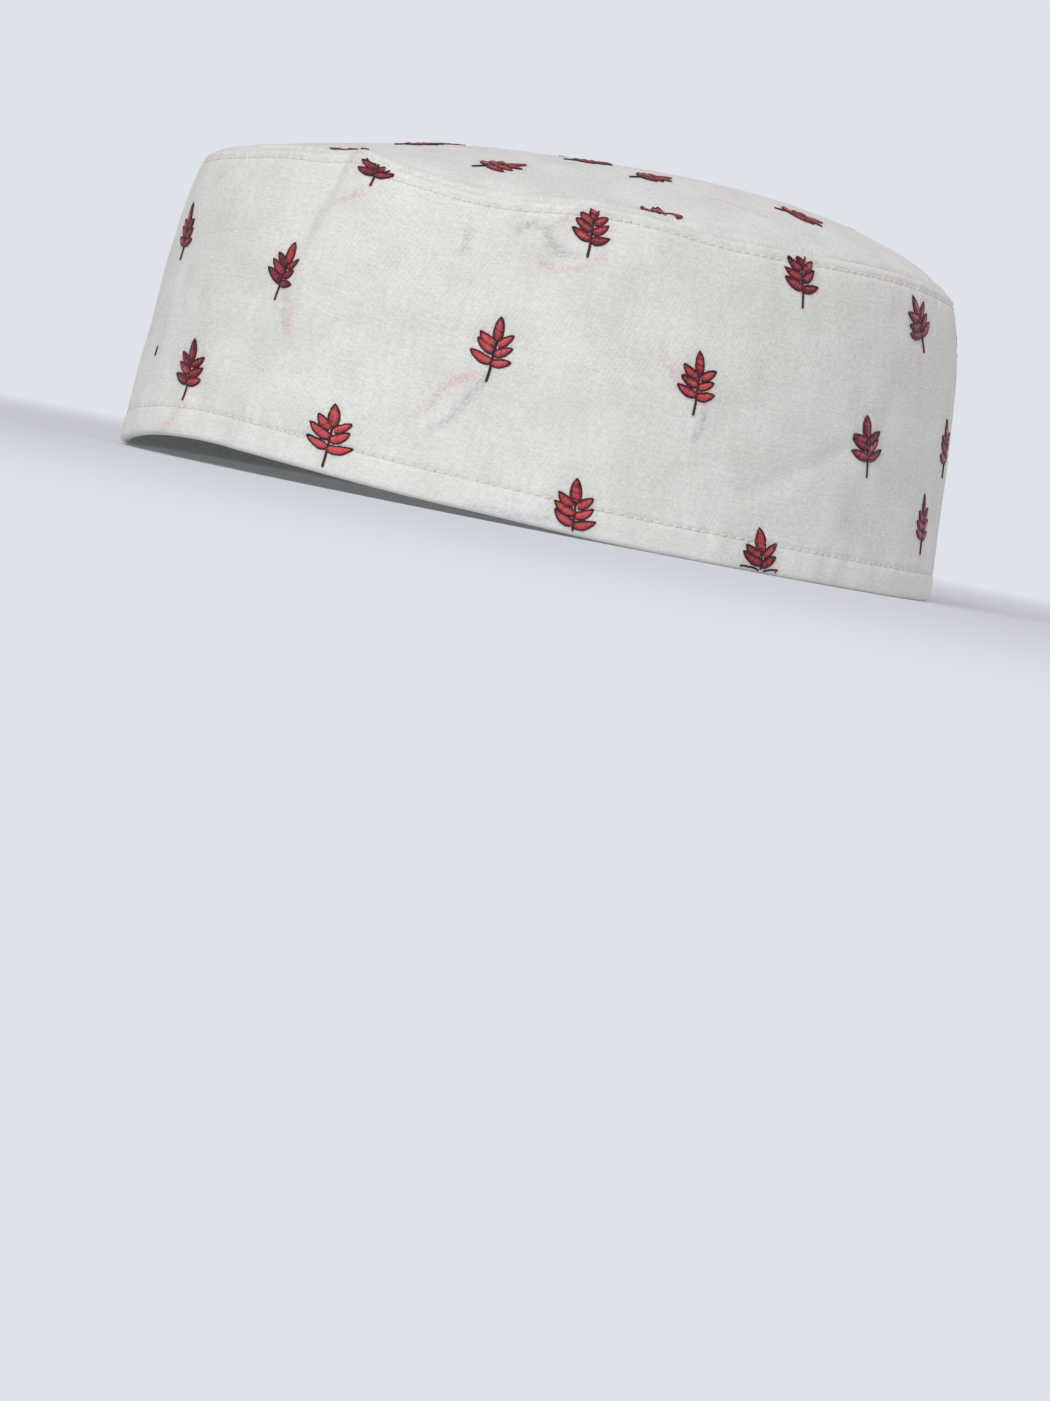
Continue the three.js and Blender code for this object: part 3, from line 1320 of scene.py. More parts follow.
@dataclass
class SideBand(Ground):
    """The cap's side: a band of twill with a turned hem, a topstitched seam edge and a back seam."""

    form: CapForm
    columns: int = 738
    stitches: int = 246
    hem_line: float = 6.8
    seam_line: float = 2.3
    hem_depth: float = 8.2
    wall: float = 2.0
    hem_wall: float = 2.7
    hem_roll: float = 0.9
    hem_turns: tuple[float, ...] = (150, 120, 90, 60, 30)  # degrees, under the rolled foot
    hem_step: float = 0.7
    lip_step: float = 0.3
    lip: tuple[tuple[float, float], ...] = (  # the folded upper edge: inward, and up from the seam
        (0.1, -0.45),
        (0.32, -0.14),
        (0.62, -0.12),
        (0.85, -0.4),
        (0.95, -1.2),
    )
    row_spacings: tuple[float, ...] = (0.75, 0.3, 0.98, 0.27)  # closer at the two stitch lines
    hem_margin: float = 0.6
    seam_margin: float = 0.7
    hem_groove: Swell = Swell(-0.3, 0.6)
    seam_groove: Swell = Swell(-0.2, 0.55)
    hole_pull: Swell = Swell(0.5, 0.6)
    stitch_pull: float = 0.7
    hem_fullness: Swell = Swell(0.12, 2.4, 3.4)
    seam_fullness: Swell = Swell(0.2, 0.8, 0.9)
    hem_puckers: Swell = Swell(1.0, 4)
    seam_puckers: Swell = Swell(1.2, 3)
    back_groove: Swell = Swell(-0.45, 0.8)
    back_fullness: Swell = Swell(0.2, 7)
    soft_middle: float = 30.0
    soft_reach: float = 34.0
    # Lighter near the hem and below the seam: partly the doubled cloth, partly a painted highlight
    # where these edges catch the light.
    hem_whiter: float = 0.025
    hem_sharpness: float = 3.0
    seam_whiter: float = 0.02
    seam_sharpness: float = 2.0
    seam_layers: float = 1.5  # how far the allowance reaches below the stitches
    thread_half_width: float = 0.18
    thread_half_height: float = 0.15
    thread_tone: float = 0.6
    stitch_sunk: float = 0.22
    stitch_rise: float = 0.34
    stitch_round: float = 0.6
    inside_lift: float = 0.05
    cut: tuple[float, float] = (0.598, 0.0885)
    creases: tuple[Crease, ...] = (
        Crease(Fold.STEP, (32.9, 47), (39.6, 73), 14, 2.4),
        Crease(Fold.VALLEY, (33.2, 46), (39.2, 72), 2.4, 0.7),
        Crease(Fold.FALL, (32, 8), (40, 31), 8, 3.8),
        Crease(Fold.VALLEY, (151, 18), (177, 31), 2.6, 0.5),
        Crease(Fold.RIDGE, (172, 4), (181, 26), 7, 0.8),
        Crease(Fold.VALLEY, (196, 22), (176, 47), 5, 0.35),
        Crease(Fold.VALLEY, (120, 62), (150, 50), 5, 0.2),
        Crease(Fold.VALLEY, (60, 24), (96, 18), 6, 0.18),
        Crease(Fold.VALLEY, (-20, 40), (6, 60), 5, 0.35),
        Crease(Fold.VALLEY, (250, 14), (268, 40), 4, 0.5),
        Crease(Fold.VALLEY, (-232, 20), (-214, 46), 5, 0.5),
        Crease(Fold.VALLEY, (-120, 12), (-96, 34), 4, 0.45),
    )
    # The shade column is partly painted light: sprigs that face the lamps are given brighter thread and
    # those turned away deeper; those on the back differ at random.
    sprigs: tuple[Sprig, ...] = (
        Sprig(-13.2, 51.4, -5, Carry.NONE, 0.25, 0.82, 0.94),
        Sprig(31.2, 45.9, 9, Carry.DROP, 0.12, 0.85, 0.95),
        Sprig(49.4, 71.9, 0, Carry.TAIL, 0.15, 1.0, 0.62),
        Sprig(101.7, 67.9, 0, Carry.LOOP, 0.35, 0.8, 0.92),
        Sprig(155.9, 67.6, -7, Carry.NONE, 0.2, 0.88),
        Sprig(200.4, 63.6, -29, Carry.HANG, 0.15),
        Sprig(8.1, 20.5, -3, Carry.CURL, 0.2, 0.92),
        Sprig(85.2, 37.5, 3, Carry.TRAIL, 0.7, 0.88),
        Sprig(132.1, 39.2, -1, Carry.HOOK, 0.5, 0.9),
        Sprig(183.5, 33.3, -11, Carry.NONE, 0.15, 1.12),
        Sprig(227.5, 37.0, -12, Carry.NONE, 0.25, 0.85),
        Sprig(53.3, 12.2, 1, Carry.NONE, 0.85, 1.06),
        Sprig(109.0, 6.2, -3, Carry.RUN, 0.65, 0.94),
        Sprig(155.7, 3.2, -8, Carry.NONE, 0.3),
        Sprig(217.0, 18.3, -10, Carry.NONE, 0.25, 0.7),
        Sprig(248.5, 61.5, -6, Carry.TAIL, 0.4),
        Sprig(274.0, 35.4, 4, Carry.DROP, 0.6),
        Sprig(266.5, 9.6, -4, Carry.NONE, 0.5),
        Sprig(-281.0, 60.2, 5, Carry.HOOK, 0.4),
        Sprig(-257.5, 38.0, -3, Carry.TRAIL, 0.6),
        Sprig(-262.5, 11.4, 2, Carry.NONE, 0.5),
        Sprig(-233.0, 62.3, -4, Carry.NONE, 0.4),
        Sprig(-208.0, 40.6, 6, Carry.HANG, 0.5),
        Sprig(-214.0, 14.2, -6, Carry.RUN, 0.6),
        Sprig(-184.5, 64.0, 3, Carry.TAIL, 0.5),
        Sprig(-160.5, 37.1, -5, Carry.LOOP, 0.4),
        Sprig(-163.0, 9.0, 4, Carry.NONE, 0.6),
        Sprig(-137.0, 60.9, 0, Carry.NONE, 0.5),
        Sprig(-111.5, 43.2, 5, Carry.HOOK, 0.5),
        Sprig(-112.0, 16.1, -3, Carry.CURL, 0.4),
        Sprig(-89.0, 65.1, -6, Carry.TRAIL, 0.6),
        Sprig(-62.5, 46.8, 2, Carry.DROP, 0.4),
        Sprig(-58.5, 18.8, -4, Carry.NONE, 0.5),
        Sprig(-48.5, 66.4, 4, Carry.NONE, 0.4),
    )
    loose_threads: tuple = (
        (GREY, ((74.5, 61.3), (74.2, 57.0))),
        (BACK, ((-2.9, 62.7), (-0.6, 64.9), (2.4, 66.6))),
    )
    stray_stitch: tuple[float, float] = (-12.1, 22.7)
    stray_half_length: float = 1.1
    stray_half_width: float = 0.26

    def __post_init__(self) -> None:
        """Draws the cloth's unevenness and the puckers beside its stitching."""
        self.soft = Unevenness(3, (3, 12), 1 / 60, 10, 0.22)
        self.fine = Unevenness(4, (24, 60), 1 / 16, 14, 0.05)
        self.pucker = Unevenness(5, (48, 120), 1 / 30, 16, 0.09)

    @property
    def pitch(self) -> float:
        """Length of one stitch, along the middle of the band."""
        return self.form.around / self.stitches

    def heights(self, arc: Array, height: Array) -> tuple[Array, Array, Array]:
        """Bearing, height above the rim and depth below the seam, at flat places."""
        bearing = self.form.bearing_of(arc)
        return bearing, height - self.form.rim(bearing), self.form.seam(bearing) - height

    def folded(self, flat: Array) -> Array:
        """How far the creases alone move the outer face out, at flat places."""
        return sum(crease.lift_at(flat) for crease in self.creases)

    def relief(self, arc: Array, height: Array) -> Array:
        """How far creases, seams and stitching move the outer face out.

        Args:
            arc: Ways around the cap.
            height: Heights above the ground.

        Returns:
            The move out at each place.
        """
        _, above, below = self.heights(arc, height)
        share_round = arc / self.form.around
        out = self.soft.at(share_round, height) * hump(below - self.soft_middle, self.soft_reach)
        out += self.fine.at(share_round, height)
        out += self.folded(np.stack(np.broadcast_arrays(arc, height), -1))
        hole = np.abs((arc + self.pitch / 2) % self.pitch - self.pitch / 2)
        pulled = self.stitch_pull + self.hole_pull.at(hole)
        from_hem, from_seam = above - self.hem_line, below - self.seam_line
        out += pulled * (self.hem_groove.at(from_hem) + self.seam_groove.at(from_seam))
        out += self.seam_fullness.at(below) + self.hem_fullness.at(above)
        puckered = self.pucker.at(share_round, height)
        out += puckered * (self.hem_puckers.at(from_hem) + self.seam_puckers.at(from_seam))
        back = self.form.around / 2 - np.abs(arc)
        return out + self.back_groove.at(back) + self.back_fullness.at(back)

    def face(self, flat: Array, lift: Array | float = 0.0) -> Array:
        """Finds points of the outer face.

        Args:
            flat: Flat places, (..., 2).
            lift: How far each point is moved out.

        Returns:
            The points, (..., 3).
        """
        arc, height = flat[..., 0], flat[..., 1]
        bearing, above, below = self.heights(arc, height)
        inset = self.form.inset(bearing, np.clip(above / (above + below), 0, 1))
        x, y = self.form.oval(bearing, inset - self.relief(arc, height) - lift)
        return np.stack(np.broadcast_arrays(x, y, height), -1)

    def holds(self, flat: Array) -> Array:
        """Whether flat places lie between the rim and the seam."""
        _, above, below = self.heights(flat[..., 0], flat[..., 1])
        return (above > self.hem_margin) & (below > self.seam_margin)

    def section(self) -> tuple[Array, Array]:
        """Rows of the band's two faces, as heights above the rim of a band of the nominal height.

        Returns:
            The rows of the outer face from the hem up, and those of the inner face.
        """
        tall = self.form.seam_height
        # The rows change their spacing below and above the hem's stitches and below the seam's.
        stops = (self.hem_roll, 5.4, 8.4, tall - 5, tall - 0.6)
        spaced = zip(stops, stops[1:], self.row_spacings)
        outer = np.concatenate([np.arange(low, high, step) for low, high, step in spaced])
        hem_edge = [self.hem_depth - 0.3, self.hem_depth + 0.2]
        inner = np.concatenate([[self.hem_roll, 3, 5.5], hem_edge, np.linspace(11, tall - 2.6, 20)])
        return outer, inner

    def build(self, cloth: bpy.types.Material) -> bpy.types.Object:
        """Builds the band as one closed piece of cloth.

        Args:
            cloth: The cloth's material.

        Returns:
            The new piece.
        """
        form, tall = self.form, self.form.seam_height
        arc = (np.arange(self.columns) / self.columns - 0.5) * form.around
        bearing = form.bearing_of(arc)
        rim, seam = form.rim(bearing), form.seam(bearing)
        outer, inner = self.section()

        def at(above: float) -> Array:
            """Height of a row all around, from its height on the nominal band."""
            return rim + above / tall * (seam - rim)

        def row(height: Array, inward: float | Array) -> Array:
            """One row of points around the band."""
            return self.face(np.stack([arc, height], -1), -inward)

        rows = [row(at(a), 0.0) for a in outer]
        rows += [row(seam + rise, inward) for inward, rise in self.lip]
        for above in inner[::-1]:
            turned = above < self.hem_depth
            rows.append(row(at(above), self.hem_wall if turned else self.wall))
        for angle in np.radians(self.hem_turns):
            points = row(at(self.hem_roll), self.hem_wall * (0.5 - 0.5 * np.cos(angle)))
            points[:, 2] = rim + self.hem_roll * (1 - np.sin(angle))
            rows.append(points)
        points = np.concatenate(rows)
        count = len(rows)
        faces = grid_quads(count, self.columns, True)
        # The flat map runs on over the lip, down the inside and under the hem.
        over = tall + np.cumsum([self.lip_step] * len(self.lip))
        down = over[-1] + (tall - inner[::-1])
        under = down[-1] + np.arange(1, len(self.hem_turns) + 2) * self.hem_step
        along = np.concatenate([outer, over, down, under])
        around = np.append(arc, form.around / 2)
        heights = points[:, 2].reshape(count, -1)
        above, below = heights - rim, seam - heights
        edges = np.stack([above, below], -1).reshape(-1, 2)[faces.ravel()]
        maps = {CLOTH_MAP: grid_map(around, along), EDGE_MAP: edges}
        piece = write_mesh("band_cloth", points, [faces], maps)
        write_values(piece, TINT, self.tint(arc, heights, len(outer)))
        piece.data.materials.append(cloth)
        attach(piece, BODY)
        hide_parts("band")
        LOG.info("band_cloth: %d faces", len(faces))
        return piece

    def tint(self, arc: Array, heights: Array, outer_rows: int) -> Array:
        """Colour factors of the band: threads behind its outer face, and its lighter hem and seam
        edges, partly doubled cloth and partly painted highlight.

        Args:
            arc: Ways around the cap to the columns of vertices.
            heights: Heights of the vertices, row by row.
            outer_rows: How many rows the outer face has.

        Returns:
            A colour factor for each vertex, (n, 4).
        """
        colour = np.ones((*heights.shape, 4))
        flat = np.stack(np.broadcast_arrays(arc, heights[:outer_rows]), -1)
        shown = carried_tint(flat.reshape(-1, 2), shown_threads(self.sprigs, self.loose_threads))
        _, above, below = self.heights(flat[..., 0], flat[..., 1])
        past_hem = (above - self.hem_line) * self.hem_sharpness
        past_seam = (below - self.seam_line - self.seam_layers) * self.seam_sharpness
        # Partly doubled cloth, partly a painted highlight along the hem and under the seam.
        doubled_and_lit = 1 + self.hem_whiter / (1 + np.exp(past_hem))
        doubled_and_lit += self.seam_whiter / (1 + np.exp(past_seam))
        colour[:outer_rows, :, :3] = shown.reshape(outer_rows, -1, 3) * doubled_and_lit[..., None]
        return colour.reshape(-1, 4)

    def topstitch(self, thread: bpy.types.Material) -> list[bpy.types.Object]:
        """Sews the hem's and the seam's topstitching, outside and inside.

        Args:
            thread: The sewing thread's material.

        Returns:
            The rows of stitches.
        """
        steps = 7
        arc = (np.arange(self.stitches * steps) / (self.stitches * steps) - 0.5) * self.form.around
        bearing = self.form.bearing_of(arc)
        in_stitch = np.abs(np.sin(np.pi * (arc / self.pitch)))
        lines = {
            "hem_topstitch": self.form.rim(bearing) + self.hem_line,
            "seam_topstitch": self.form.seam(bearing) - self.seam_line,
        }
        thread_size = (self.thread_half_width, self.thread_half_height)
        tone = np.array([[self.thread_tone]])
        sewn = []
        for name, height in lines.items():
            work = ThreadWork()
            flat = np.stack([arc, height], -1)
            lift = -self.stitch_sunk + self.stitch_rise * in_stitch**self.stitch_round
            points, normals = self.place(flat, lift)
            work.add(points[None], normals[None], *thread_size, tone, True)
            wall = self.hem_wall if name == "hem_topstitch" else self.wall
            inner = self.face(flat, -wall - self.inside_lift)
            work.add(inner[None], -normals[None], *thread_size, tone, True)
            sewn.append(work.write(name, thread, "band_twill"))
        return sewn

    def embroider(self, red: bpy.types.Material, dark: bpy.types.Material) -> list[bpy.types.Object]:
        """Embroiders the band's sprigs and its one stray stitch.

        Args:
            red: The leaves' material.
            dark: The lines' material.

        Returns:
            The leaves and the lines.
        """
        work = SprigWork(seed=11)
        for sprig in self.sprigs:
            work.embroider(sprig, self)
        along = np.linspace(-self.stray_half_length, self.stray_half_length, 8)
        stray = np.array(self.stray_stitch) + along[:, None] * np.array([0.1, 1])
        work.lay_line(stray, self, self.stray_half_width, work.line_lift)
        return [
            work.fill.write("band_sprig_leaves", red, "band_twill"),
            work.line.write("band_sprig_lines", dark, "band_twill"),
        ]


@dataclass
class CrownPanel(Ground):
    """The cap's top: an oval panel of twill, its edge turned down into the seam."""

    form: CapForm
    band: SideBand
    columns: int = 492
    upper_rings: int = 84
    lower_rings: int = 26
    tuck: float = 0.85
    edge_roll: float = 0.7
    wall: float = 1.5
    edge_ease: float = 9.0  # way in over which the unevenness grows
    drawn_reach: float = 7.0  # way in over which the seam's puckers die out
    gutter: Swell = Swell(0.45, 1.8, 3.2)
    margin: float = 0.9
    edge_shares: tuple[float, ...] = (0, 0.004, 0.009, 0.015, 0.022, 0.03, 0.039)
    allowance: tuple[tuple[float, float], ...] = (  # below the seam, and in from the band's wall
        (0.6, -0.85),
        (2.2, 0.12),
        (4.5, 0.15),
        (7.0, 0.18),
        (7.0, 0.85),
        (4.5, 0.9),
        (2.0, 0.95),
    )
    cut: tuple[float, float] = (0.170, 0.202)
    cut_area: float = 0.027
    # Painted shade: the crown's cloth is tinted a little greyer and bluer than the band's, standing in
    # for the weaker light on its top.
    painted_crown_shade: tuple[float, float, float] = (0.975, 0.98, 1.0)
    # The shade column is partly painted shade: the sprigs on the side towards the lamps are given
    # deeper thread; the others differ at random.
    sprigs: tuple[Sprig, ...] = (
        Sprig(44.0, -50.5, -7, Carry.NONE, 0.35),
        Sprig(30.6, -83.6, -22, Carry.NONE, 0.3, 1.3),
        Sprig(2.8, -49.5, -10, Carry.NONE, 0.3, 0.6),
        Sprig(27.0, -18.0, -6, Carry.NONE, 0.35),
        Sprig(47.0, -13.0, -18, Carry.NONE, 0.3, 0.8),
        Sprig(53.0, 24.5, -3, Carry.NONE, 0.35),
        Sprig(74.2, -25.0, -14, Carry.NONE, 0.3),
        Sprig(-12.0, -36.0, -16, Carry.DROP, 0.5),
        Sprig(-40.0, -59.0, -21, Carry.NONE, 0.5),
        Sprig(-52.5, -46.0, -14, Carry.TRAIL, 0.5),
        Sprig(-33.5, -18.5, -20, Carry.NONE, 0.6),
        Sprig(-64.5, -16.0, -17, Carry.HANG, 0.5),
        Sprig(-5.0, -2.5, -18, Carry.HOOK, 0.5),
        Sprig(10.0, 27.5, -13, Carry.NONE, 0.5),
        Sprig(-27.0, 19.5, -19, Carry.TAIL, 0.5),
        Sprig(-57.0, 22.5, -15, Carry.NONE, 0.4),
        Sprig(-12.5, 46.5, -20, Carry.CURL, 0.6),
        Sprig(19.0, 62.0, -16, Carry.DROP, 0.5),
        Sprig(-39.0, 54.0, -12, Carry.NONE, 0.5),
        Sprig(-10.5, 79.5, -18, Carry.NONE, 0.4),
    )
    loose_threads: tuple = ((PINK, ((58.0, -5.5), (60.5, 1), (63.5, 8.0))),)

    EDGE_STEPS = 2881
    FAR = 40.0  # no line of needle holes is near

    def __post_init__(self) -> None:
        """Draws the cloth's unevenness and finds the panel's edge."""
        self.soft = Unevenness(6, (2, 5), 1 / 50, 8, 0.25)
        self.fine = Unevenness(7, (20, 50), 1 / 14, 12, 0.06)
        bearing = np.linspace(-180, 180, self.EDGE_STEPS)
        x, y = self.edge(bearing)
        self.polar = (np.unwrap(np.arctan2(x, -y)), bearing, np.hypot(x, y))

    def edge(self, bearing: Array) -> tuple[Array, Array]:
        """Finds the panel's edge in the seam, seen from above, where the band's creases move it too.

        Args:
            bearing: Bearings around the cap.

        Returns:
            The edge's x and y.
        """
        seam = np.stack([self.form.arc_of(bearing), self.form.seam(bearing)], -1)
        inset = self.form.inset(bearing, np.ones_like(bearing)) - self.band.folded(seam)
        return self.form.oval(bearing, inset + self.tuck)

    def height(self, bearing: Array, share: Array, size: Array) -> Array:
        """Height of the upper face, with its edge rolled down into the seam.

        Args:
            bearing: Bearings around the cap.
            share: Shares of the way in from the seam.
            size: Distance of the seam from the middle.

        Returns:
            The height at each place.
        """
        inward = share * size
        rolled = self.form.crown_edge * np.exp(-inward / self.edge_roll)
        eased = 1 - np.exp(-inward / self.edge_ease)
        uneven = self.soft.at(bearing / 360, inward) * eased * (1 - share)
        drawn = self.fine.at(bearing / 360, inward) * np.exp(-inward / self.drawn_reach)
        return self.form.dome(bearing, share) - rolled + uneven + drawn - self.gutter.at(inward)

    def polar_place(self, flat: Array) -> tuple[Array, Array, Array]:
        """Finds where flat places lie on the panel.

        Args:
            flat: Flat places, (..., 2).

        Returns:
            Their bearings, shares of the way in, and the seam's distance from the middle there.
        """
        angles, bearings, sizes = self.polar
        angle = np.arctan2(flat[..., 0], -flat[..., 1])
        size = np.interp(angle, angles, sizes)
        share = 1 - np.hypot(flat[..., 0], flat[..., 1]) / size
        return np.interp(angle, angles, bearings), share, size

    def face(self, flat: Array, lift: Array | float = 0.0) -> Array:
        """Finds points of the upper face.

        Args:
            flat: Flat places, (..., 2).
            lift: How far each point is raised.

        Returns:
            The points, (..., 3).
        """
        bearing, share, size = self.polar_place(flat)
        height = self.height(bearing, np.clip(share, 0, 1), size) + lift
        return np.concatenate([flat, height[..., None]], -1)

    def holds(self, flat: Array) -> Array:
        """Whether flat places lie inside the seam."""
        _, share, size = self.polar_place(flat)
        return share * size > self.margin

    def build(self, cloth: bpy.types.Material) -> bpy.types.Object:
        """Builds the crown as one closed piece of cloth, with its seam allowance inside the band.

        Args:
            cloth: The cloth's material.

        Returns:
            The new piece.
        """
        arc = (np.arange(self.columns) / self.columns - 0.5) * self.form.around
        bearing = self.form.bearing_of(arc)
        x, y = self.edge(bearing)
        size = np.hypot(x, y)
        seam = self.form.seam(bearing)
        upper = np.concatenate([self.edge_shares, np.linspace(0.05, 0.99, self.upper_rings)])
        lower = np.linspace(0.03, 0.98, self.lower_rings)

        def ring(share: float, below: float) -> Array:
            """One ring of the panel, on its upper face or below it."""
            height = self.height(bearing, np.full_like(bearing, share), size) - below
            return np.stack([x * (1 - share), y * (1 - share), height], -1)

        def hung(below: float, inward: float) -> Array:
            """One ring of the allowance, inside the band's inner face."""
            return self.band.face(np.stack([arc, seam - below], -1), -self.band.wall - inward)

        rows = [ring(s, 0.0) for s in upper[::-1]]
        rows += [hung(below, inward) for below, inward in self.allowance]
        rows += [ring(s, self.wall) for s in lower]
        top = np.array([[0, 0, self.form.dome(np.zeros(1), np.ones(1))[0]]])
        points = np.concatenate([*rows, top, top - np.array([0, 0, self.wall])])
        count, columns = len(rows), self.columns
        sides = grid_quads(count, columns, False)[:, ::-1]
        here, beside = np.arange(columns), (np.arange(columns) + 1) % columns
        peak = count * columns
        last = (count - 1) * columns
        upper_fan = np.stack([here, beside, np.full(columns, peak)], -1)
        lower_fan = np.stack([last + beside, last + here, np.full(columns, peak + 1)], -1)
        faces = [sides, upper_fan, lower_fan]
        corners = np.concatenate([f.ravel() for f in faces])
        far = np.full((len(corners), 2), self.FAR)
        maps = {CLOTH_MAP: points[corners, :2], EDGE_MAP: far}
        piece = write_mesh("crown_cloth", points, faces, maps)
        # The whole crown carries the painted shade in its tint, and the threads behind it on top of
        # that.
        tint = np.broadcast_to(np.array([*self.painted_crown_shade, 1.0]), (len(points), 4)).copy()
        shown = len(upper) * columns
        threads = shown_threads(self.sprigs, self.loose_threads)
        tint[:shown, :3] *= carried_tint(points[:shown, :2], threads)
        write_values(piece, TINT, tint)
        piece.data.materials.append(cloth)
        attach(piece, BODY)
        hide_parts("crown")
        LOG.info("crown_cloth: %d faces", len(piece.data.polygons))
        return piece

    def embroider(self, red: bpy.types.Material, dark: bpy.types.Material) -> list[bpy.types.Object]:
        """Embroiders the crown's sprigs.

        Args:
            red: The leaves' material.
            dark: The lines' material.

        Returns:
            The leaves and the lines.
        """
        work = SprigWork(seed=12)
        for sprig in self.sprigs:
            work.embroider(sprig, self)
        return [
            work.fill.write("crown_sprig_leaves", red, "crown_twill"),
            work.line.write("crown_sprig_lines", dark, "crown_twill"),
        ]


@dataclass(frozen=True)
class SoftLight:
    """One large soft light: where it hangs, how wide it is and how strong. Metres and watts."""

    name: str
    place: tuple[float, float, float]
    size: float
    power: float
    colour: str


@dataclass(frozen=True)
class BackdropPaper:
    """Uncoated paper: pressed, matt and pale, with a faint grain of fibres.

    It takes the cap's soft shadow, and fades out before it would show an edge. It also glows faintly, a
    painted light that lifts that shadow and the dark under the cap's lifted rim.
    """

    name: str = "backdrop_paper"
    colour: str = "cdd0d7"
    fibre: str = "d1d4da"
    # A faint glow, as though the paper were a lamp: painted light under and inside the cap.
    glow: float = 0.16

    def material(self) -> bpy.types.Material:
        """Builds the paper's material.

        Returns:
            The new material.
        """
        made, tree = new_material(self.name)
        place = add_node(tree, "ShaderNodeTexCoord").outputs["Object"]
        grain = add_node(tree, "ShaderNodeTexNoise", {"Vector": place, "Scale": 60.0, "Detail": 3})
        colour = add_node(
            tree,
            "ShaderNodeMix",
            {"Factor": grain.outputs["Fac"], "A": linear(self.colour), "B": linear(self.fibre)},
            data_type="RGBA",
        ).outputs[MIXED]
        matt = add_node(
            tree,
            "ShaderNodeBsdfPrincipled",
            {
                "Base Color": colour,
                "Roughness": 1.0,
                "Specular IOR Level": 0.0,
                "Emission Color": linear(self.colour),
                "Emission Strength": self.glow,
            },
        )
        clear = add_node(tree, "ShaderNodeBsdfTransparent")
        away = add_node(tree, "ShaderNodeVectorMath", {0: place}, operation="LENGTH")
        fade = add_node(
            tree,
            "ShaderNodeMapRange",
            {"Value": away.outputs["Value"], "From Min": 0.12, "From Max": 0.75},
            interpolation_type="SMOOTHSTEP",
        )
        mixed = add_node(
            tree,
            "ShaderNodeMixShader",
            {0: fade.outputs["Result"], 1: matt.outputs["BSDF"], 2: clear.outputs["BSDF"]},
        )
        add_node(tree, "ShaderNodeOutputMaterial", {"Surface": mixed.outputs["Shader"]})
        return made


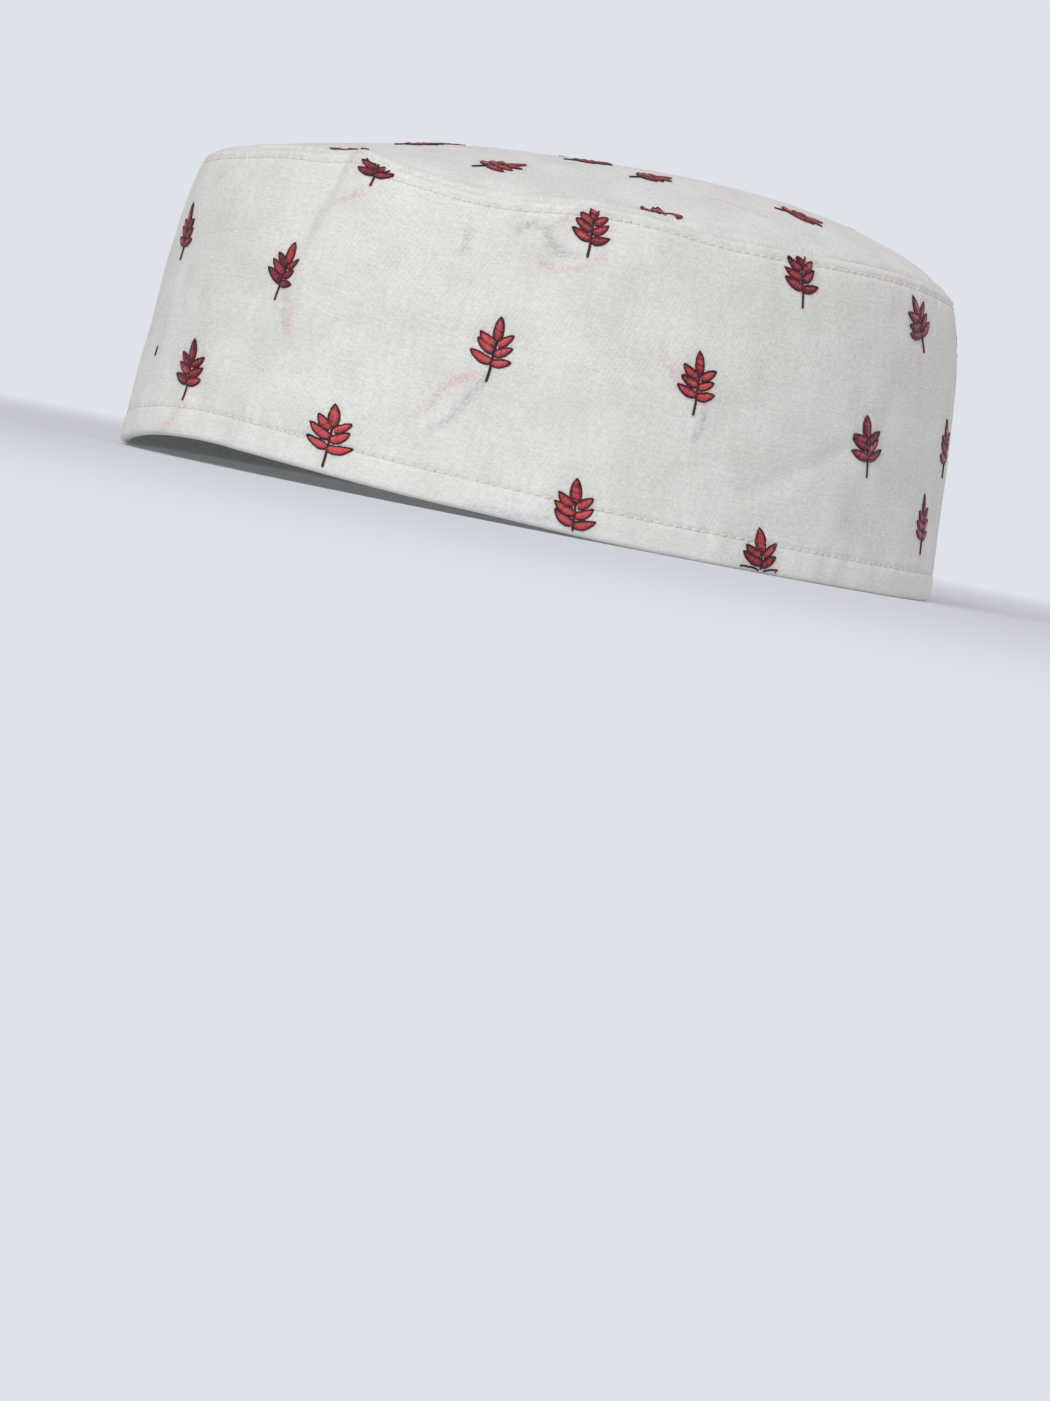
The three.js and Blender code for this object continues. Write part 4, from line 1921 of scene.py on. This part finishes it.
@dataclass
class Studio:
    """A plain pale floor, soft light and the camera."""

    floor_radius: float = 1.3
    paper: BackdropPaper = BackdropPaper()
    backdrop: str = "dee2e9"
    ambient: str = "fff7f5"
    ambient_strength: float = 0.4
    camera_bearing: float = 60.0
    camera_distance: float = 1070.0
    camera_height: float = 16.0
    aim: tuple[float, float, float] = (3.62, 6.27, -41.87)
    roll: float = 11.216
    lens: float = 115.0
    lights: tuple[SoftLight, ...] = (
        SoftLight("key", (1.1, -1.185, 0.525), 1.1, 5.6, "fafcfb"),
        SoftLight("high", (0.82, -0.88, 1.202), 1.1, 10.3, "fafcff"),
        SoftLight("side", (1.465, -0.683, 0.525), 1.1, 0.5, "ffe6de"),
        SoftLight("top", (0.0, 0.0, 1.7), 1.3, 2.0, "d8e2ff"),
        SoftLight("back", (-0.3, 1.6, 0.6), 1.1, 5.0, "f2eaff"),
    )

    def build(self) -> None:
        """Builds the floor, the lights, the world and the camera."""
        rings, spokes = 24, 96
        angle = 2 * np.pi * np.arange(spokes) / spokes
        radii = np.linspace(0.02, self.floor_radius, rings) / MM
        rows = [np.stack([r * np.cos(angle), r * np.sin(angle), 0 * angle], -1) for r in radii]
        middle = np.arange(spokes)[None, :]
        floor = write_mesh("floor", np.concatenate(rows), [grid_quads(rings, spokes, False), middle])
        floor.data.flip_normals()
        floor.data.materials.append(self.paper.material())
        for light in self.lights:
            lamp = bpy.data.lights.new(light.name, "AREA")
            lamp.shape = "DISK"
            lamp.size = light.size
            lamp.energy = light.power
            lamp.color = linear(light.colour)[:3]
            holder = bpy.data.objects.new(light.name, lamp)
            holder.location = light.place
            holder.rotation_euler = (-Vector(light.place)).to_track_quat("-Z", "Y").to_euler()
            bpy.context.scene.collection.objects.link(holder)
        self.build_world()
        self.build_camera()

    def build_world(self) -> None:
        """An even pale backdrop that lights the cap softly from all around."""
        world = bpy.data.worlds.new("studio")
        bpy.context.scene.world = world
        world.use_nodes = True
        tree = world.node_tree
        tree.nodes.clear()
        seen = add_node(tree, "ShaderNodeBackground", {"Color": linear(self.backdrop)})
        given = add_node(
            tree,
            "ShaderNodeBackground",
            {"Color": linear(self.ambient), "Strength": self.ambient_strength},
        )
        path = add_node(tree, "ShaderNodeLightPath")
        mixed = add_node(
            tree,
            "ShaderNodeMixShader",
            {
                0: path.outputs["Is Camera Ray"],
                1: given.outputs["Background"],
                2: seen.outputs["Background"],
            },
        )
        add_node(tree, "ShaderNodeOutputWorld", {"Surface": mixed.outputs["Shader"]})
        bpy.context.scene.view_settings.view_transform = "Standard"

    def build_camera(self) -> None:
        """The camera, low beside the cap and turned a little about its own axis."""
        bearing = math.radians(self.camera_bearing)
        place = Vector((math.sin(bearing), -math.cos(bearing), 0)) * self.camera_distance
        place.z = self.camera_height
        ahead = (Vector(self.aim) - place).normalized()
        level = ahead.cross(Vector((0, 0, 1))).normalized()
        above = level.cross(ahead)
        roll = math.radians(self.roll)
        right = math.cos(roll) * level + math.sin(roll) * above
        up = math.cos(roll) * above - math.sin(roll) * level
        camera = bpy.data.cameras.new("camera")
        camera.lens = self.lens
        camera.sensor_fit = "VERTICAL"
        camera.sensor_height = 36.0
        camera.clip_start = 0.01
        holder = bpy.data.objects.new("camera", camera)
        turned = Matrix((right, up, -ahead)).transposed().to_4x4()
        holder.matrix_world = Matrix.Translation(place * MM) @ turned
        bpy.context.scene.collection.objects.link(holder)
        bpy.context.scene.camera = holder


def main() -> None:
    """Builds the studio and the cap."""
    logging.basicConfig(level=logging.INFO, format="%(name)s: %(message)s")
    Studio().build()
    form = CapForm()
    band = SideBand(form)
    crown = CrownPanel(form, band)
    twill = CottonTwill(stitch_pitch=band.pitch, hem_line=band.hem_line, seam_line=band.seam_line)
    cloth = twill.material()
    # Rayon is smooth, so its flat stitches shine; finer floss and spun cotton are duller.
    red = StrandedThread("red_rayon_floss", "56081a", "d85056", roughness=0.4, shine=0.5)
    dark = StrandedThread("dark_plum_floss", "2c0a14", "781c32", sheen=0.05, shine=0.3)
    white = StrandedThread("white_sewing_thread", "d9d7d1", "efeee9", roughness=0.6, sheen=0.2)
    floss = (red.material(), dark.material())
    side = band.build(cloth)
    top = crown.build(cloth)
    sewn = band.topstitch(white.material())
    leaves = band.embroider(*floss)
    leaves_on_top = crown.embroider(*floss)


if __name__ == "__main__":
    main()
